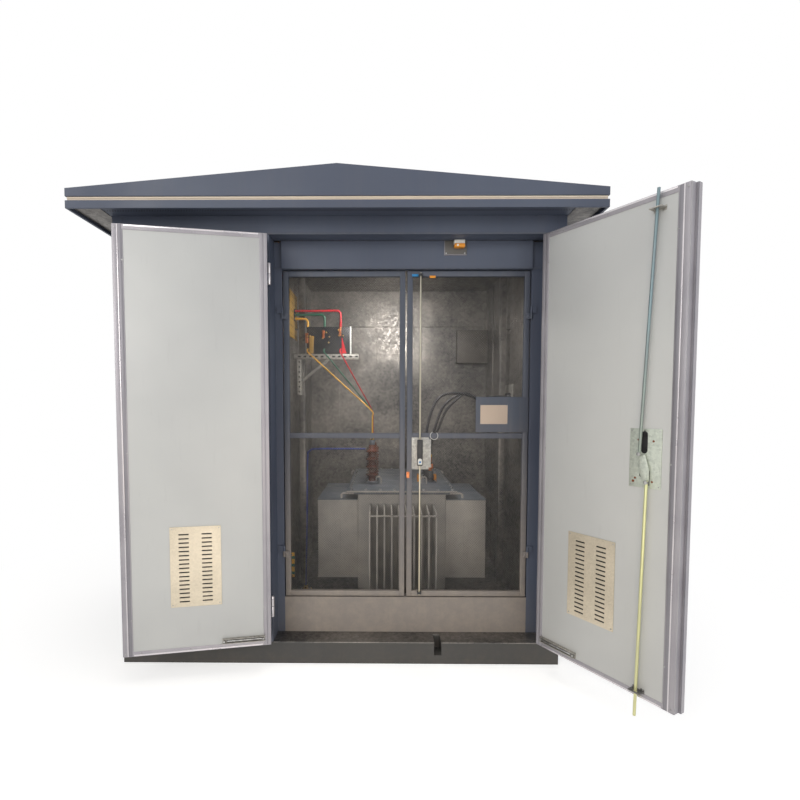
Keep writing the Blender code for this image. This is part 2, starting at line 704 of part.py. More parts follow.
def build_outer_door(label, side, pivot, lap_in_front, vent_offset):
    """Painted leaf with its hinge knuckles, and the pale liner with the louvre plate."""
    outline, reach = leaf_outline(side, lap_in_front)
    leaf = add_prism(f"{label}_door_leaf", outline, "Z", DOOR_BOTTOM, DOOR_TOP, "housing_paint", pivot)
    for index, height in enumerate(DOOR_HINGE_HEIGHTS):
        hinge_half(f"{label}_leaf_hinge_{index}", -side, height, leaf, pivot)
    near, far = sorted((side * DOOR_EDGE_GAP, side * reach))
    low, high = (near, LINER_FRONT, DOOR_BOTTOM), (far, DOOR_BACK, DOOR_TOP)
    liner = add_box(f"{label}_door_liner", low, high, "liner_sheet", pivot)
    middle = side * vent_offset
    vent = add_box(
        f"{label}_vent_plate",
        (middle - VENT_WIDTH / 2, LINER_FRONT + GAP, VENT_CENTRE_HEIGHT - VENT_HEIGHT / 2),
        (middle + VENT_WIDTH / 2, DOOR_BACK + VENT_RAISE, VENT_CENTRE_HEIGHT + VENT_HEIGHT / 2),
        "liner_sheet",
        pivot,
    )
    combine(liner, vent, "UNION")
    return liner


def bolt_point(offset_and_height):
    """Place of a point on a lock bolt, in the right door's own closed frame."""
    offset, height = offset_and_height
    return Vector((-offset, BOLT_LAYER, height))


def build_lock(pivot, liner):
    """Lock plate, cam and the two long bolts of the right outer door."""
    plate_middle = LOCK_HEIGHT + LOCK_PLATE_RISE
    half_plate = LOCK_PLATE_WIDTH / 2
    plate_face = DOOR_BACK + LOCK_PLATE_RAISE
    plate = add_box(
        "lock_plate",
        (-LOCK_OFFSET - half_plate, LINER_FRONT + GAP, plate_middle - LOCK_PLATE_HEIGHT / 2),
        (-LOCK_OFFSET + half_plate, plate_face, plate_middle + LOCK_PLATE_HEIGHT / 2),
        "galvanised",
        pivot,
    )
    combine(liner, plate, "UNION")
    upper_foot, upper_tip = bolt_point(UPPER_BOLT_FOOT), bolt_point(UPPER_BOLT_TIP)
    lower_top, lower_tip = bolt_point(LOWER_BOLT_TOP), bolt_point(LOWER_BOLT_TIP)
    add_rod("upper_bolt", upper_foot, upper_tip, BOLT_RADIUS, "zinc_rod", pivot)
    add_rod("lower_bolt", lower_tip, lower_top, BOLT_RADIUS, "zinc_rod", pivot)
    for name, foot, tip, height in (
        ("upper_guide", upper_foot, upper_tip, UPPER_GUIDE_HEIGHT),
        ("lower_guide", lower_top, lower_tip, LOWER_GUIDE_HEIGHT),
    ):
        share = (height - foot.z) / (tip.z - foot.z)
        middle = foot.lerp(tip, share)
        guide = add_box(
            name,
            (middle.x - GUIDE_SIZE / 2, LINER_FRONT + GAP, height - GUIDE_THICKNESS / 2),
            (middle.x + GUIDE_SIZE / 2, BOLT_LAYER + GUIDE_SIZE / 2, height + GUIDE_THICKNESS / 2),
            "galvanised",
            pivot,
        )
        along = (tip - foot).normalized() * GUIDE_SIZE
        near, far = middle - along, middle + along
        hole = add_rod(f"{name}_hole", near, far, GUIDE_HOLE_RADIUS, "galvanised", pivot)
        combine(guide, hole, "DIFFERENCE")
        combine(liner, guide, "UNION")
    centre = Vector((-LOCK_OFFSET, 0, LOCK_HEIGHT))
    cam_pivot = add_pivot("lock_pivot", centre, parent=pivot)
    cam_back = plate_face + CAM_STANDOFF
    half = CAM_WIDTH / 2
    ears = [
        (half, CAM_REACH),
        (-CAM_EAR_STEP, CAM_REACH),
        (-half, 0),
        (-half, -CAM_REACH),
        (CAM_EAR_STEP, -CAM_REACH),
        (half, 0),
    ]
    cam = add_prism("lock_cam", ears, "Y", cam_back, cam_back + CAM_THICKNESS, "galvanised", cam_pivot)
    hub = add_rod(
        "cam_hub",
        (0, plate_face + GAP, 0),
        (0, cam_back + CAM_THICKNESS / 2, 0),
        CAM_HUB_RADIUS,
        "galvanised",
        cam_pivot,
    )
    combine(cam, hub, "UNION")


def mesh_hinge_half(name, side, height, joined_to, parent=None):
    """One knuckle of a mesh-door hinge, with the strap that carries it."""
    along = 1 if parent is None else -1
    bottom = height if along > 0 else height - MESH_KNUCKLE_LENGTH - GAP
    x, y = (side * HALF_INNER + INNER_MIDDLE, MESH_HINGE_Y) if parent is None else (0.0, 0.0)
    barrel = add_rod(
        f"{name}_barrel",
        (x, y, bottom),
        (x, y, bottom + MESH_KNUCKLE_LENGTH),
        MESH_KNUCKLE_RADIUS,
        "housing_paint",
        parent,
    )
    start = x if parent is None else side * along * MESH_KNUCKLE_CLEARANCE
    near, far = sorted((start, x + side * along * KNUCKLE_REACH))
    strap = add_box(
        f"{name}_strap",
        (near, y - KNUCKLE_LEAF / 2, bottom),
        (far, y + MESH_HINGE_FORWARD + KNUCKLE_LEAF, bottom + MESH_KNUCKLE_LENGTH),
        "housing_paint",
        parent,
    )
    combine(joined_to, barrel, "UNION")
    combine(joined_to, strap, "UNION")


def build_mesh_door(label, side, pivot):
    """Steel frame with its mid rail; the wire mesh is stood for by a grid of bars."""
    near = MESH_EDGE_GAP
    far = HALF_INNER - MESH_MEETING_GAP / 2
    front = MESH_HINGE_FORWARD
    back = MESH_HINGE_FORWARD + INNER_FRAME_THICKNESS
    door = add_box(
        f"{label}_mesh_door",
        (min(side * near, side * far), front, MESH_BOTTOM),
        (max(side * near, side * far), back, MESH_TOP),
        "housing_paint",
        pivot,
    )
    mid_low = MESH_MID_RAIL_CENTRE - MESH_STILE / 2
    mid_high = MESH_MID_RAIL_CENTRE + MESH_STILE / 2
    inner_near = near + MESH_STILE
    inner_far = far - MESH_STILE
    lights = ((MESH_BOTTOM + MESH_STILE, mid_low), (mid_high, MESH_TOP - MESH_STILE))
    columns = round((inner_far - inner_near) / MESH_PITCH)
    cell_width = (inner_far - inner_near - (columns - 1) * MESH_BAR) / columns
    for light, (low, high) in enumerate(lights):
        rows = round((high - low) / MESH_PITCH)
        cell_height = (high - low - (rows - 1) * MESH_BAR) / rows
        holes = bmesh.new()
        for column in range(columns):
            for row in range(rows):
                x = side * (inner_near + cell_width / 2 + column * (cell_width + MESH_BAR))
                z = low + cell_height / 2 + row * (cell_height + MESH_BAR)
                made = bmesh.ops.create_cube(holes, size=1.0)
                place = Matrix.Translation((x, (front + back) / 2, z))
                scale = Matrix.Diagonal((cell_width, CUT_PAST, cell_height, 1.0))
                bmesh.ops.transform(holes, matrix=place @ scale, verts=made["verts"])
        cutter = add_piece(f"{label}_mesh_holes_{light}", holes, "housing_paint", pivot)
        combine(door, cutter, "DIFFERENCE")
    for index, height in enumerate(MESH_HINGE_HEIGHTS):
        mesh_hinge_half(f"{label}_mesh_hinge_{index}", -side, height, door, pivot)
    return door


def build_mesh_lock(pivot, door):
    """Latch plate, handle and the two thin bolts of the right mesh door."""
    def right_of_middle(offset):
        """Place along the door of a point that far right of where the leaves meet."""
        return offset - HALF_INNER

    face = MESH_HINGE_FORWARD
    latch_face = face - LATCH_THICKNESS
    add_box(
        "latch_plate",
        (right_of_middle(LATCH_LEFT), latch_face, LATCH_BOTTOM),
        (right_of_middle(LATCH_LEFT + LATCH_WIDTH), face - GAP, LATCH_BOTTOM + LATCH_HEIGHT),
        "galvanised",
        pivot,
    )
    bolt_x = right_of_middle(HANDLE_OFFSET)
    bolt_y = latch_face - GAP - MESH_BOLT_RADIUS
    lowest, highest = MESH_GUIDE_HEIGHTS
    spans = {
        "mesh_upper_bolt": (HANDLE_CENTRE + MESH_BOLT_INNER, highest + MESH_BOLT_PAST_GUIDE),
        "mesh_lower_bolt": (lowest - MESH_BOLT_PAST_GUIDE, HANDLE_CENTRE - MESH_BOLT_INNER),
    }
    for name, (low, high) in spans.items():
        foot, tip = (bolt_x, bolt_y, low), (bolt_x, bolt_y, high)
        add_rod(name, foot, tip, MESH_BOLT_RADIUS, "zinc_rod", pivot)
    half_guide = MESH_GUIDE_SIZE / 2
    for index, height in enumerate(MESH_GUIDE_HEIGHTS):
        guide = add_box(
            f"mesh_guide_{index}",
            (bolt_x - half_guide, bolt_y - half_guide, height - MESH_GUIDE_THICKNESS / 2),
            (bolt_x + half_guide, face + MESH_BAR, height + MESH_GUIDE_THICKNESS / 2),
            "housing_paint",
            pivot,
        )
        hole = add_rod(
            f"mesh_guide_hole_{index}",
            (bolt_x, bolt_y, height - MESH_GUIDE_SIZE),
            (bolt_x, bolt_y, height + MESH_GUIDE_SIZE),
            MESH_GUIDE_HOLE,
            "housing_paint",
            pivot,
        )
        combine(guide, hole, "DIFFERENCE")
        combine(door, guide, "UNION")
    handle_pivot = add_pivot("handle_pivot", (bolt_x, 0, HANDLE_CENTRE), parent=pivot)
    handle_back = bolt_y - MESH_BOLT_RADIUS - GAP
    handle = add_box(
        "mesh_door_handle",
        (-HANDLE_WIDTH / 2, handle_back - HANDLE_THICKNESS, -HANDLE_LENGTH / 2),
        (HANDLE_WIDTH / 2, handle_back, HANDLE_LENGTH / 2),
        "black_plastic",
        handle_pivot,
    )
    hub = add_rod(
        "handle_hub",
        (0, latch_face - GAP, 0),
        (0, handle_back - HANDLE_THICKNESS / 2, 0),
        HANDLE_HUB_RADIUS,
        "black_plastic",
        handle_pivot,
    )
    combine(handle, hub, "UNION")
    right_edge = -MESH_EDGE_GAP
    panel_bottom = MESH_MID_RAIL_CENTRE + MESH_STILE / 2
    add_box(
        "name_panel",
        (right_edge - NAME_PANEL_WIDTH, face - GAP - NAME_PANEL_THICKNESS, panel_bottom),
        (right_edge, face - GAP, panel_bottom + NAME_PANEL_HEIGHT),
        "housing_paint",
        pivot,
    )


def comb_outline(count, pitch, depth):
    """Plan of a bank of cooling fins standing on their web, from x 0 along +X."""
    points = [(0.0, 0.0)]
    for index in range(count):
        start = index * pitch
        points += [(start, depth), (start + FIN_THICKNESS, depth)]
        if index < count - 1:
            points += [(start + FIN_THICKNESS, FIN_WEB), (start + pitch, FIN_WEB)]
    points.append(((count - 1) * pitch + FIN_THICKNESS, 0.0))
    return points


def add_fin_bank(name, outline, turn_degrees, place, low, high):
    """A bank of fins turned about the vertical and set against the tank."""
    turned = []
    c, s = cos(radians(turn_degrees)), sin(radians(turn_degrees))
    for x, y in outline:
        turned.append((place[0] + c * x - s * y, place[1] + s * x + c * y))
    return add_prism(name, turned, "Z", low, high, "transformer_grey")


def build_transformer():
    """Tank on its skids, lid, four banks of fins and the bushings."""
    low, high = (TANK_LEFT, TANK_FRONT, TANK_BOTTOM), (TANK_RIGHT, TANK_REAR, TANK_TOP)
    tank = add_box("transformer_tank", low, high, "transformer_grey")
    for side in (-1, 1):
        middle = TANK_CENTRE_X + side * SKID_SPACING / 2
        skid = add_box(
            f"skid_{side}",
            (middle - SKID_WIDTH / 2, TANK_FRONT, STANDING),
            (middle + SKID_WIDTH / 2, TANK_REAR, TANK_BOTTOM + SKID_BITE),
            "transformer_grey",
        )
        combine(tank, skid, "UNION")
    add_box(
        "transformer_lid",
        (TANK_LEFT - LID_OVERHANG, TANK_FRONT - LID_FRONT_OVERHANG, LID_BOTTOM),
        (TANK_RIGHT + LID_OVERHANG, TANK_REAR + LID_FRONT_OVERHANG, LID_TOP),
        "transformer_grey",
    )
    front_span = (FRONT_FIN_COUNT - 1) * FRONT_FIN_PITCH + FIN_THICKNESS
    low, high = TANK_BOTTOM + FRONT_FIN_FOOT, TANK_TOP - FRONT_FIN_HEAD
    outline = comb_outline(FRONT_FIN_COUNT, FRONT_FIN_PITCH, FRONT_FIN_DEPTH)
    place = (TANK_CENTRE_X + front_span / 2, TANK_FRONT - GAP)
    add_fin_bank("front_fins", outline, 180, place, low, high)
    rear_depth = TANK_REAR_CLEARANCE - REAR_FIN_CLEARANCE
    outline = comb_outline(FRONT_FIN_COUNT, FRONT_FIN_PITCH, rear_depth)
    place = (TANK_CENTRE_X - front_span / 2, TANK_REAR + GAP)
    add_fin_bank("rear_fins", outline, 0, place, low, high)
    side_span = (SIDE_FIN_COUNT - 1) * SIDE_FIN_PITCH + FIN_THICKNESS
    low, high = TANK_BOTTOM + SIDE_FIN_FOOT, TANK_TOP - SIDE_FIN_HEAD
    outline = comb_outline(SIDE_FIN_COUNT, SIDE_FIN_PITCH, SIDE_FIN_DEPTH)
    first = TANK_FRONT + SIDE_FIN_FIRST
    add_fin_bank("left_fins", outline, 90, (TANK_LEFT - GAP, first), low, high)
    add_fin_bank("right_fins", outline, -90, (TANK_RIGHT + GAP, first + side_span), low, high)
    for index, y in enumerate(HV_BUSHING_Y):
        profile = [(HV_SHED_RADIUS, 0.0), (HV_SHED_RADIUS, HV_FOOT_HEIGHT)]
        for shed in range(HV_SHED_COUNT):
            low = HV_SHED_START + shed * HV_SHED_PITCH
            profile.append((HV_BUSHING_RADIUS, low))
            profile.append((HV_SHED_RADIUS, low + HV_SHED_RISE))
            profile.append((HV_BUSHING_RADIUS, low + HV_SHED_FALL))
        profile.append((HV_NECK_RADIUS, HV_NECK_HEIGHT))
        profile.append((HV_STEM_RADIUS, HV_NECK_HEIGHT + HV_NECK_STEP))
        profile.append((HV_STEM_RADIUS, HV_BUSHING_HEIGHT))
        add_turned(f"hv_bushing_{index + 1}", profile, (HV_BUSHING_X, y, BUSHING_FOOT), "porcelain")
    half_flange = LV_FLANGE_WIDTH / 2
    flange_top = BUSHING_FOOT + LV_FLANGE_THICKNESS
    lv = add_box(
        "lv_bushings",
        (LV_BUSHING_X - half_flange, LV_BUSHING_Y[0] - half_flange, BUSHING_FOOT),
        (LV_BUSHING_X + half_flange, LV_BUSHING_Y[-1] + half_flange, flange_top),
        "copper_orange",
    )
    for index, y in enumerate(LV_BUSHING_Y):
        post = add_rod(
            f"lv_post_{index}",
            (LV_BUSHING_X, y, BUSHING_FOOT + LV_FLANGE_THICKNESS / 2),
            (LV_BUSHING_X, y, BUSHING_FOOT + LV_BUSHING_HEIGHT),
            LV_BUSHING_RADIUS,
            "copper_orange",
        )
        combine(lv, post, "UNION")


def build_high_voltage_gear():
    """Bracket on the partition, terminal board, phase bars and conductors to the bushings."""
    wall = PARTITION_RIGHT + GAP
    back = BRACKET_FRONT + BRACKET_DEPTH
    bracket = add_box(
        "hv_bracket",
        (wall, BRACKET_FRONT, BRACKET_TOP - BRACKET_DROP),
        (PARTITION_RIGHT + BRACKET_REACH, back, BRACKET_TOP),
        "galvanised",
    )
    upright_left = PARTITION_RIGHT + UPRIGHT_OFFSET
    upright = add_box(
        "bracket_upright",
        (upright_left, BRACKET_FRONT, BRACKET_TOP - UPRIGHT_DROP),
        (upright_left + UPRIGHT_WIDTH, back, BRACKET_TOP - BRACKET_DROP / 2),
        "galvanised",
    )
    combine(bracket, upright, "UNION")
    half = BRACE_WIDTH / 2
    foot_x, foot_z = PARTITION_RIGHT + BRACE_FOOT_OFFSET, BRACKET_TOP - BRACE_FOOT_DROP
    head_x, head_z = PARTITION_RIGHT + BRACE_HEAD_OFFSET, BRACKET_TOP - BRACE_HEAD_DROP
    brace_outline = [
        (foot_x, foot_z - half),
        (head_x + half, head_z),
        (head_x - half, head_z),
        (foot_x, foot_z + half),
    ]
    low, high = BRACKET_FRONT + BRACE_INSET, back - BRACE_INSET
    brace = add_prism("bracket_brace", brace_outline, "Y", low, high, "galvanised")
    combine(bracket, brace, "UNION")
    board_y = BRACKET_FRONT + BRACKET_DEPTH / 2
    board_low = BRACKET_TOP + GAP
    board_left = PARTITION_RIGHT + BOARD_OFFSET
    add_box(
        "terminal_board",
        (board_left, board_y - BOARD_THICKNESS / 2, board_low),
        (board_left + BOARD_WIDTH, board_y + BOARD_THICKNESS / 2, BOARD_TOP),
        "black_plastic",
    )
    board_face = board_y - BOARD_THICKNESS / 2
    lane = BRACKET_FRONT - 4 * CONDUCTOR_RADIUS
    conductor_start = BRACKET_TOP + CONDUCTOR_RISE
    slant_top = conductor_start - 5 * CONDUCTOR_RADIUS
    below_bracket = BRACKET_TOP - 1.4 * BRACKET_DROP
    bushing_top = BUSHING_FOOT + HV_BUSHING_HEIGHT + GAP
    kink_x = HV_BUSHING_X - 2 * CONDUCTOR_RADIUS
    kink_z = bushing_top + CONDUCTOR_KINK_RISE
    share = (slant_top - below_bracket) / (slant_top - kink_z)
    for (phase, offset), bushing_y in zip(BAR_OFFSETS.items(), HV_BUSHING_Y):
        column = PARTITION_RIGHT + offset
        height = BOARD_TOP + BAR_RISES[phase]
        corner = 2 * BAR_RADIUS
        add_tube(
            f"{phase}_bar",
            [
                (wall, board_y, height),
                (wall + (column - wall) / 2, board_y, height),
                (column - corner, board_y, height),
                (column, board_y, height - corner),
                (column, board_y, BOARD_TOP + GAP),
            ],
            BAR_RADIUS,
            f"phase_{phase}",
        )
        below_x = column + share * (kink_x - column)
        add_tube(
            f"{phase}_conductor",
            [
                (column, board_face - GAP - CONDUCTOR_RADIUS, conductor_start),
                (column, lane, slant_top),
                (below_x, lane, below_bracket),
                ((below_x + kink_x) / 2, (lane + bushing_y) / 2, (below_bracket + kink_z) / 2),
                (kink_x, bushing_y, kink_z),
                (HV_BUSHING_X, bushing_y, kink_z - 10 * CONDUCTOR_RADIUS),
                (HV_BUSHING_X, bushing_y, bushing_top),
            ],
            CONDUCTOR_RADIUS,
            f"phase_{phase}",
        )
    first_y = HV_BUSHING_Y[0]
    bend = 4 * BLUE_RADIUS
    add_tube(
        "blue_conductor",
        [
            (HV_BUSHING_X - HV_SHED_RADIUS - GAP, first_y, BLUE_HEIGHT),
            ((HV_BUSHING_X + BLUE_COLUMN) / 2, first_y, BLUE_HEIGHT),
            (BLUE_COLUMN + bend, first_y, BLUE_HEIGHT - BLUE_RADIUS / 2),
            (BLUE_COLUMN, first_y, BLUE_HEIGHT - bend),
            (BLUE_COLUMN + BLUE_FOOT_DRIFT / 2, first_y, BLUE_HEIGHT / 2),
            (BLUE_COLUMN + BLUE_FOOT_DRIFT, first_y, STANDING),
        ],
        BLUE_RADIUS,
        "phase_blue",
        spacing=6 * BLUE_RADIUS,
    )


def build_low_voltage_cables():
    """Black cables that arch from the low-voltage bushings to the plate on the right wall."""
    middle_y = sum(LV_BUSHING_Y[:CABLE_COUNT]) / CABLE_COUNT
    plate_x = ROOM_WALL_X - GAP - GLAND_PLATE_THICKNESS
    half_depth, half_height = GLAND_PLATE_DEPTH / 2, GLAND_PLATE_HEIGHT / 2
    add_box(
        "gland_plate",
        (plate_x, middle_y - half_depth, CABLE_ENTRY_HEIGHT - half_height),
        (ROOM_WALL_X - GAP, middle_y + half_depth, CABLE_ENTRY_HEIGHT + half_height),
        "galvanised",
    )
    start_z = BUSHING_FOOT + LV_BUSHING_HEIGHT + GAP
    top_z = CABLE_ENTRY_HEIGHT + CABLE_ARCH
    reach = plate_x - GAP - LV_BUSHING_X
    near_x, rise_x, arch_x, far_x = [LV_BUSHING_X + share * reach for share in CABLE_SHARES]
    for index in range(CABLE_COUNT):
        y = LV_BUSHING_Y[index]
        end_y = middle_y + (index - (CABLE_COUNT - 1) / 2) * CABLE_SPACING
        lean = CABLE_LEANS[index]
        lag = CABLE_LAG * (lean - CABLE_LEANS[0])
        add_tube(
            f"lv_cable_{index + 1}",
            [
                (LV_BUSHING_X, y, start_z),
                (LV_BUSHING_X, y, start_z + 5 * CABLE_RADIUS),
                (near_x + lean, (3 * y + end_y) / 4, CABLE_LEAN_HEIGHT),
                (rise_x + 1.4 * lag, (y + end_y) / 2, top_z - CABLE_RISE_DROP - lag),
                (arch_x + 1.2 * lag, (y + 3 * end_y) / 4, top_z),
                (far_x, end_y, CABLE_ENTRY_HEIGHT - CABLE_RADIUS),
                (plate_x - 8 * CABLE_RADIUS, end_y, CABLE_ENTRY_HEIGHT),
                (plate_x - GAP, end_y, CABLE_ENTRY_HEIGHT),
            ],
            CABLE_RADIUS,
            "black_plastic",
        )


def build_switch_plate():
    """Plate of the door-limit switch, on the face of the header panel."""
    face = INNER_PLANE - HEADER_PANEL_FORWARD - GAP
    left = OPENING_RIGHT - SWITCH_PLATE_INSET
    top = OPENING_TOP - SWITCH_PLATE_DROP
    add_box(
        "switch_plate",
        (left, face - SWITCH_PLATE_THICKNESS, top - SWITCH_PLATE_HEIGHT),
        (left + SWITCH_PLATE_WIDTH, face, top),
        "galvanised",
    )


def build_doors():
    """The outer doors standing open and the mesh doors closed behind them."""
    left_pivot = add_pivot("left_door_pivot", (OPENING_LEFT, HINGE_LINE_Y, 0), -LEFT_DOOR_OPEN)
    right_pivot = add_pivot("right_door_pivot", (OPENING_RIGHT, HINGE_LINE_Y, 0), RIGHT_DOOR_OPEN)
    build_outer_door("left", 1, left_pivot, False, LEFT_VENT_OFFSET)
    liner = build_outer_door("right", -1, right_pivot, True, RIGHT_VENT_OFFSET)
    build_lock(right_pivot, liner)
    left_mesh_pivot = add_pivot("left_mesh_pivot", (INNER_LEFT, MESH_HINGE_Y, 0))
    right_mesh_pivot = add_pivot("right_mesh_pivot", (INNER_RIGHT, MESH_HINGE_Y, 0))
    build_mesh_door("left", 1, left_mesh_pivot)
    door = build_mesh_door("right", -1, right_mesh_pivot)
    build_mesh_lock(right_mesh_pivot, door)


clear_scene()
build_base()
build_walls()
build_front_frame()
build_roof()
build_doors()
build_transformer()
build_high_voltage_gear()
build_low_voltage_cables()
build_switch_plate()
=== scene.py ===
# %% [markdown]
# # A compact substation
# The steel housing stands with its two outer doors open, so that the mesh
# doors and the small transformer behind them can be seen. The CAD model
# gives every piece its size and place. This lesson dresses it: it keeps the
# CAD sheet metal where that is right, and makes the finer pieces again with
# bmesh operators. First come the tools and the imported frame.

# %% Load the frame
import json
from math import cos, pi, radians, sin

import bmesh
import bpy
from mathutils import Matrix, Vector


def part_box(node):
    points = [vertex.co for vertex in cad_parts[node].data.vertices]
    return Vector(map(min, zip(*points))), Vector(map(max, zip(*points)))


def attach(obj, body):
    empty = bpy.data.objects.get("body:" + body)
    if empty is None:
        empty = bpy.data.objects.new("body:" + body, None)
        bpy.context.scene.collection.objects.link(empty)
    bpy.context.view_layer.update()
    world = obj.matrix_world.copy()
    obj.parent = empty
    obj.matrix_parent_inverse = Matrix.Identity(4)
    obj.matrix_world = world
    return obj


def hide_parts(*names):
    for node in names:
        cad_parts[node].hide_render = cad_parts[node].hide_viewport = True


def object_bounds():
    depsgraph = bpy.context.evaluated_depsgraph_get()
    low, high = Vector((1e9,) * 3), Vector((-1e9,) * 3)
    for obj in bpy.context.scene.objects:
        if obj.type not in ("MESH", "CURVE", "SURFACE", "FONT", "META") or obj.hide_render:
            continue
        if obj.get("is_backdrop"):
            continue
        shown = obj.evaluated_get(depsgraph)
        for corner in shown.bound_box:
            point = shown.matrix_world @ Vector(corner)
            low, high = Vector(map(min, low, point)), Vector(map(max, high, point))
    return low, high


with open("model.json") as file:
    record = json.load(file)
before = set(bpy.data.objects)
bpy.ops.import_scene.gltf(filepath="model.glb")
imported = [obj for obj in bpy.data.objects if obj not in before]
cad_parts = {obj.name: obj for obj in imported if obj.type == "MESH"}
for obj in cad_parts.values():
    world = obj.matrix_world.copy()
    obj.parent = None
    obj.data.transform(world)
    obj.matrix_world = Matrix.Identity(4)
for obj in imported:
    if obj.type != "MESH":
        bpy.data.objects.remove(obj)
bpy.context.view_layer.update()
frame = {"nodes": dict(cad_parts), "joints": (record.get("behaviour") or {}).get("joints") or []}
nodes = frame["nodes"]

# %% [markdown]
# ## Camera
# The photograph was taken from a little under 2.5 m in front of the doors,
# at about chest height, with a wide lens held almost level. The numbers come
# from fitting the straight edges of the housing and doors, so that the
# render frames the object as the photograph does. The small shift keeps the
# picture's centre where it was cropped.

# %% Place the camera
scene = bpy.context.scene
camera_data = bpy.data.cameras.new("camera")
camera_data.sensor_width = 36.0
camera_data.lens = 22.373
camera_data.shift_x = 0.0269
camera_data.shift_y = 0.0395
camera_data.clip_start = 0.05
camera_data.clip_end = 60.0
camera = bpy.data.objects.new("camera", camera_data)
scene.collection.objects.link(camera)
turn = Matrix.Rotation(0.00902, 4, "Z") @ Matrix.Rotation(pi / 2 - 0.05414, 4, "X")
turn = turn @ Matrix.Rotation(0.00101, 4, "Z")
camera.matrix_world = Matrix.Translation((0.21462, -3.27398, 1.30951)) @ turn
scene.camera = camera
print("Camera height:", round(camera.location.z, 3))

# %% [markdown]
# ## Shapes
# Every new piece starts from a cube, a cone or a spun line, because these
# are the blanks that a metal shop starts from: bar, tube and turned part.
# Each blank is shaped in a bmesh of its own and then poured into the piece,
# so a piece can hold many parts and each keeps its own finish number.

# %% Pour a part into a piece
def pour(part, piece, finish=0, place=None):
    """Moves a finished part to its place and adds it to a piece."""
    bmesh.ops.recalc_face_normals(part, faces=part.faces)
    if place is not None:
        bmesh.ops.transform(part, matrix=place, verts=part.verts)
    for face in part.faces:
        face.material_index = finish
    spare = bpy.data.meshes.new("spare")
    part.to_mesh(spare)
    part.free()
    piece.from_mesh(spare)
    bpy.data.meshes.remove(spare)


# %% Blocks and bars
def round_edges(part, edges, size, steps=2):
    """Breaks the given edges, as a file or a press brake does."""
    bmesh.ops.bevel(
        part, geom=edges, offset=size, offset_type="OFFSET", segments=steps,
        profile=0.5, affect="EDGES", material=-1,
    )


def add_block(piece, low, high, edge=0.0, finish=0, place=None, steps=2):
    """A box between two corners, its edges broken by edge."""
    part = bmesh.new()
    bmesh.ops.create_cube(part, size=1.0)
    bmesh.ops.scale(part, vec=[b - a for a, b in zip(low, high)], verts=part.verts)
    bmesh.ops.translate(part, vec=[(a + b) / 2 for a, b in zip(low, high)], verts=part.verts)
    if edge:
        round_edges(part, part.edges[:], edge, steps)
    pour(part, piece, finish, place)


def across(side, near, far, middle=0.0):
    """Two distances to one side of a middle, the lower place first."""
    return sorted((middle + side * near, middle + side * far))


def add_bar(piece, start, end, radius, edge=0.0, finish=0, place=None, sides=24):
    """A round bar or disc between two points; with six sides it is a nut."""
    start, end = Vector(start), Vector(end)
    axis = end - start
    part = bmesh.new()
    bmesh.ops.create_cone(
        part, cap_ends=True, cap_tris=False, segments=sides,
        radius1=radius, radius2=radius, depth=axis.length,
    )
    if edge:
        rims = [e for e in part.edges if abs(e.verts[0].co.z - e.verts[1].co.z) < 1e-7]
        round_edges(part, rims, edge)
    stand = Vector((0, 0, 1)).rotation_difference(axis).to_matrix().to_4x4()
    move = Matrix.Translation((start + end) / 2) @ stand
    bmesh.ops.transform(part, matrix=move, verts=part.verts)
    pour(part, piece, finish, place)


def add_turned(piece, profile, foot, axis=(0, 0, 1), finish=0, place=None, sides=32):
    """A lathe-turned part: pairs of radius and height, spun about its axis."""
    part = bmesh.new()
    points = [(0.0, profile[0][1])] + list(profile) + [(0.0, profile[-1][1])]
    line = [part.verts.new((r, 0.0, z)) for r, z in points]
    edges = [part.edges.new(pair) for pair in zip(line, line[1:])]
    bmesh.ops.spin(
        part, geom=line + edges, cent=(0, 0, 0), axis=(0, 0, 1),
        angle=2 * pi, steps=sides, use_merge=True, use_duplicate=False,
    )
    bmesh.ops.remove_doubles(part, verts=part.verts, dist=1e-6)
    stand = Vector((0, 0, 1)).rotation_difference(Vector(axis)).to_matrix().to_4x4()
    bmesh.ops.transform(part, matrix=Matrix.Translation(foot) @ stand, verts=part.verts)
    pour(part, piece, finish, place)


def add_sheet(piece, outline, thick, edge=0.0, finish=0, place=None):
    """A flat plate: its outline as points in space, pushed along thick."""
    part = bmesh.new()
    face = part.faces.new([part.verts.new(p) for p in outline])
    grown = bmesh.ops.extrude_face_region(part, geom=[face], use_keep_orig=True)
    moved = [v for v in grown["geom"] if isinstance(v, bmesh.types.BMVert)]
    bmesh.ops.translate(part, vec=thick, verts=moved)
    if edge:
        round_edges(part, part.edges[:], edge)
    pour(part, piece, finish, place)


def add_loop(piece, centre, normal, radius, thickness, finish=0, arc=2 * pi, start=0.0):
    """A ring of round wire, or part of one, square to normal."""
    part = bmesh.new()
    made = bmesh.ops.create_circle(part, cap_ends=False, segments=10, radius=thickness)
    bmesh.ops.rotate(part, verts=made["verts"], cent=(0, 0, 0), matrix=Matrix.Rotation(pi / 2, 3, "X"))
    bmesh.ops.translate(part, vec=(radius, 0, 0), verts=made["verts"])
    bmesh.ops.rotate(part, verts=made["verts"], cent=(0, 0, 0), matrix=Matrix.Rotation(start, 3, "Z"))
    whole = arc > 2 * pi - 1e-6
    bmesh.ops.spin(
        part, geom=part.verts[:] + part.edges[:], cent=(0, 0, 0), axis=(0, 0, 1),
        angle=arc, steps=32, use_merge=whole, use_duplicate=False,
    )
    bmesh.ops.remove_doubles(part, verts=part.verts, dist=1e-6)
    if not whole:
        bmesh.ops.holes_fill(part, edges=[e for e in part.edges if e.is_boundary], sides=0)
    stand = Vector((0, 0, 1)).rotation_difference(Vector(normal)).to_matrix().to_4x4()
    bmesh.ops.transform(part, matrix=Matrix.Translation(centre) @ stand, verts=part.verts)
    pour(part, piece, finish)


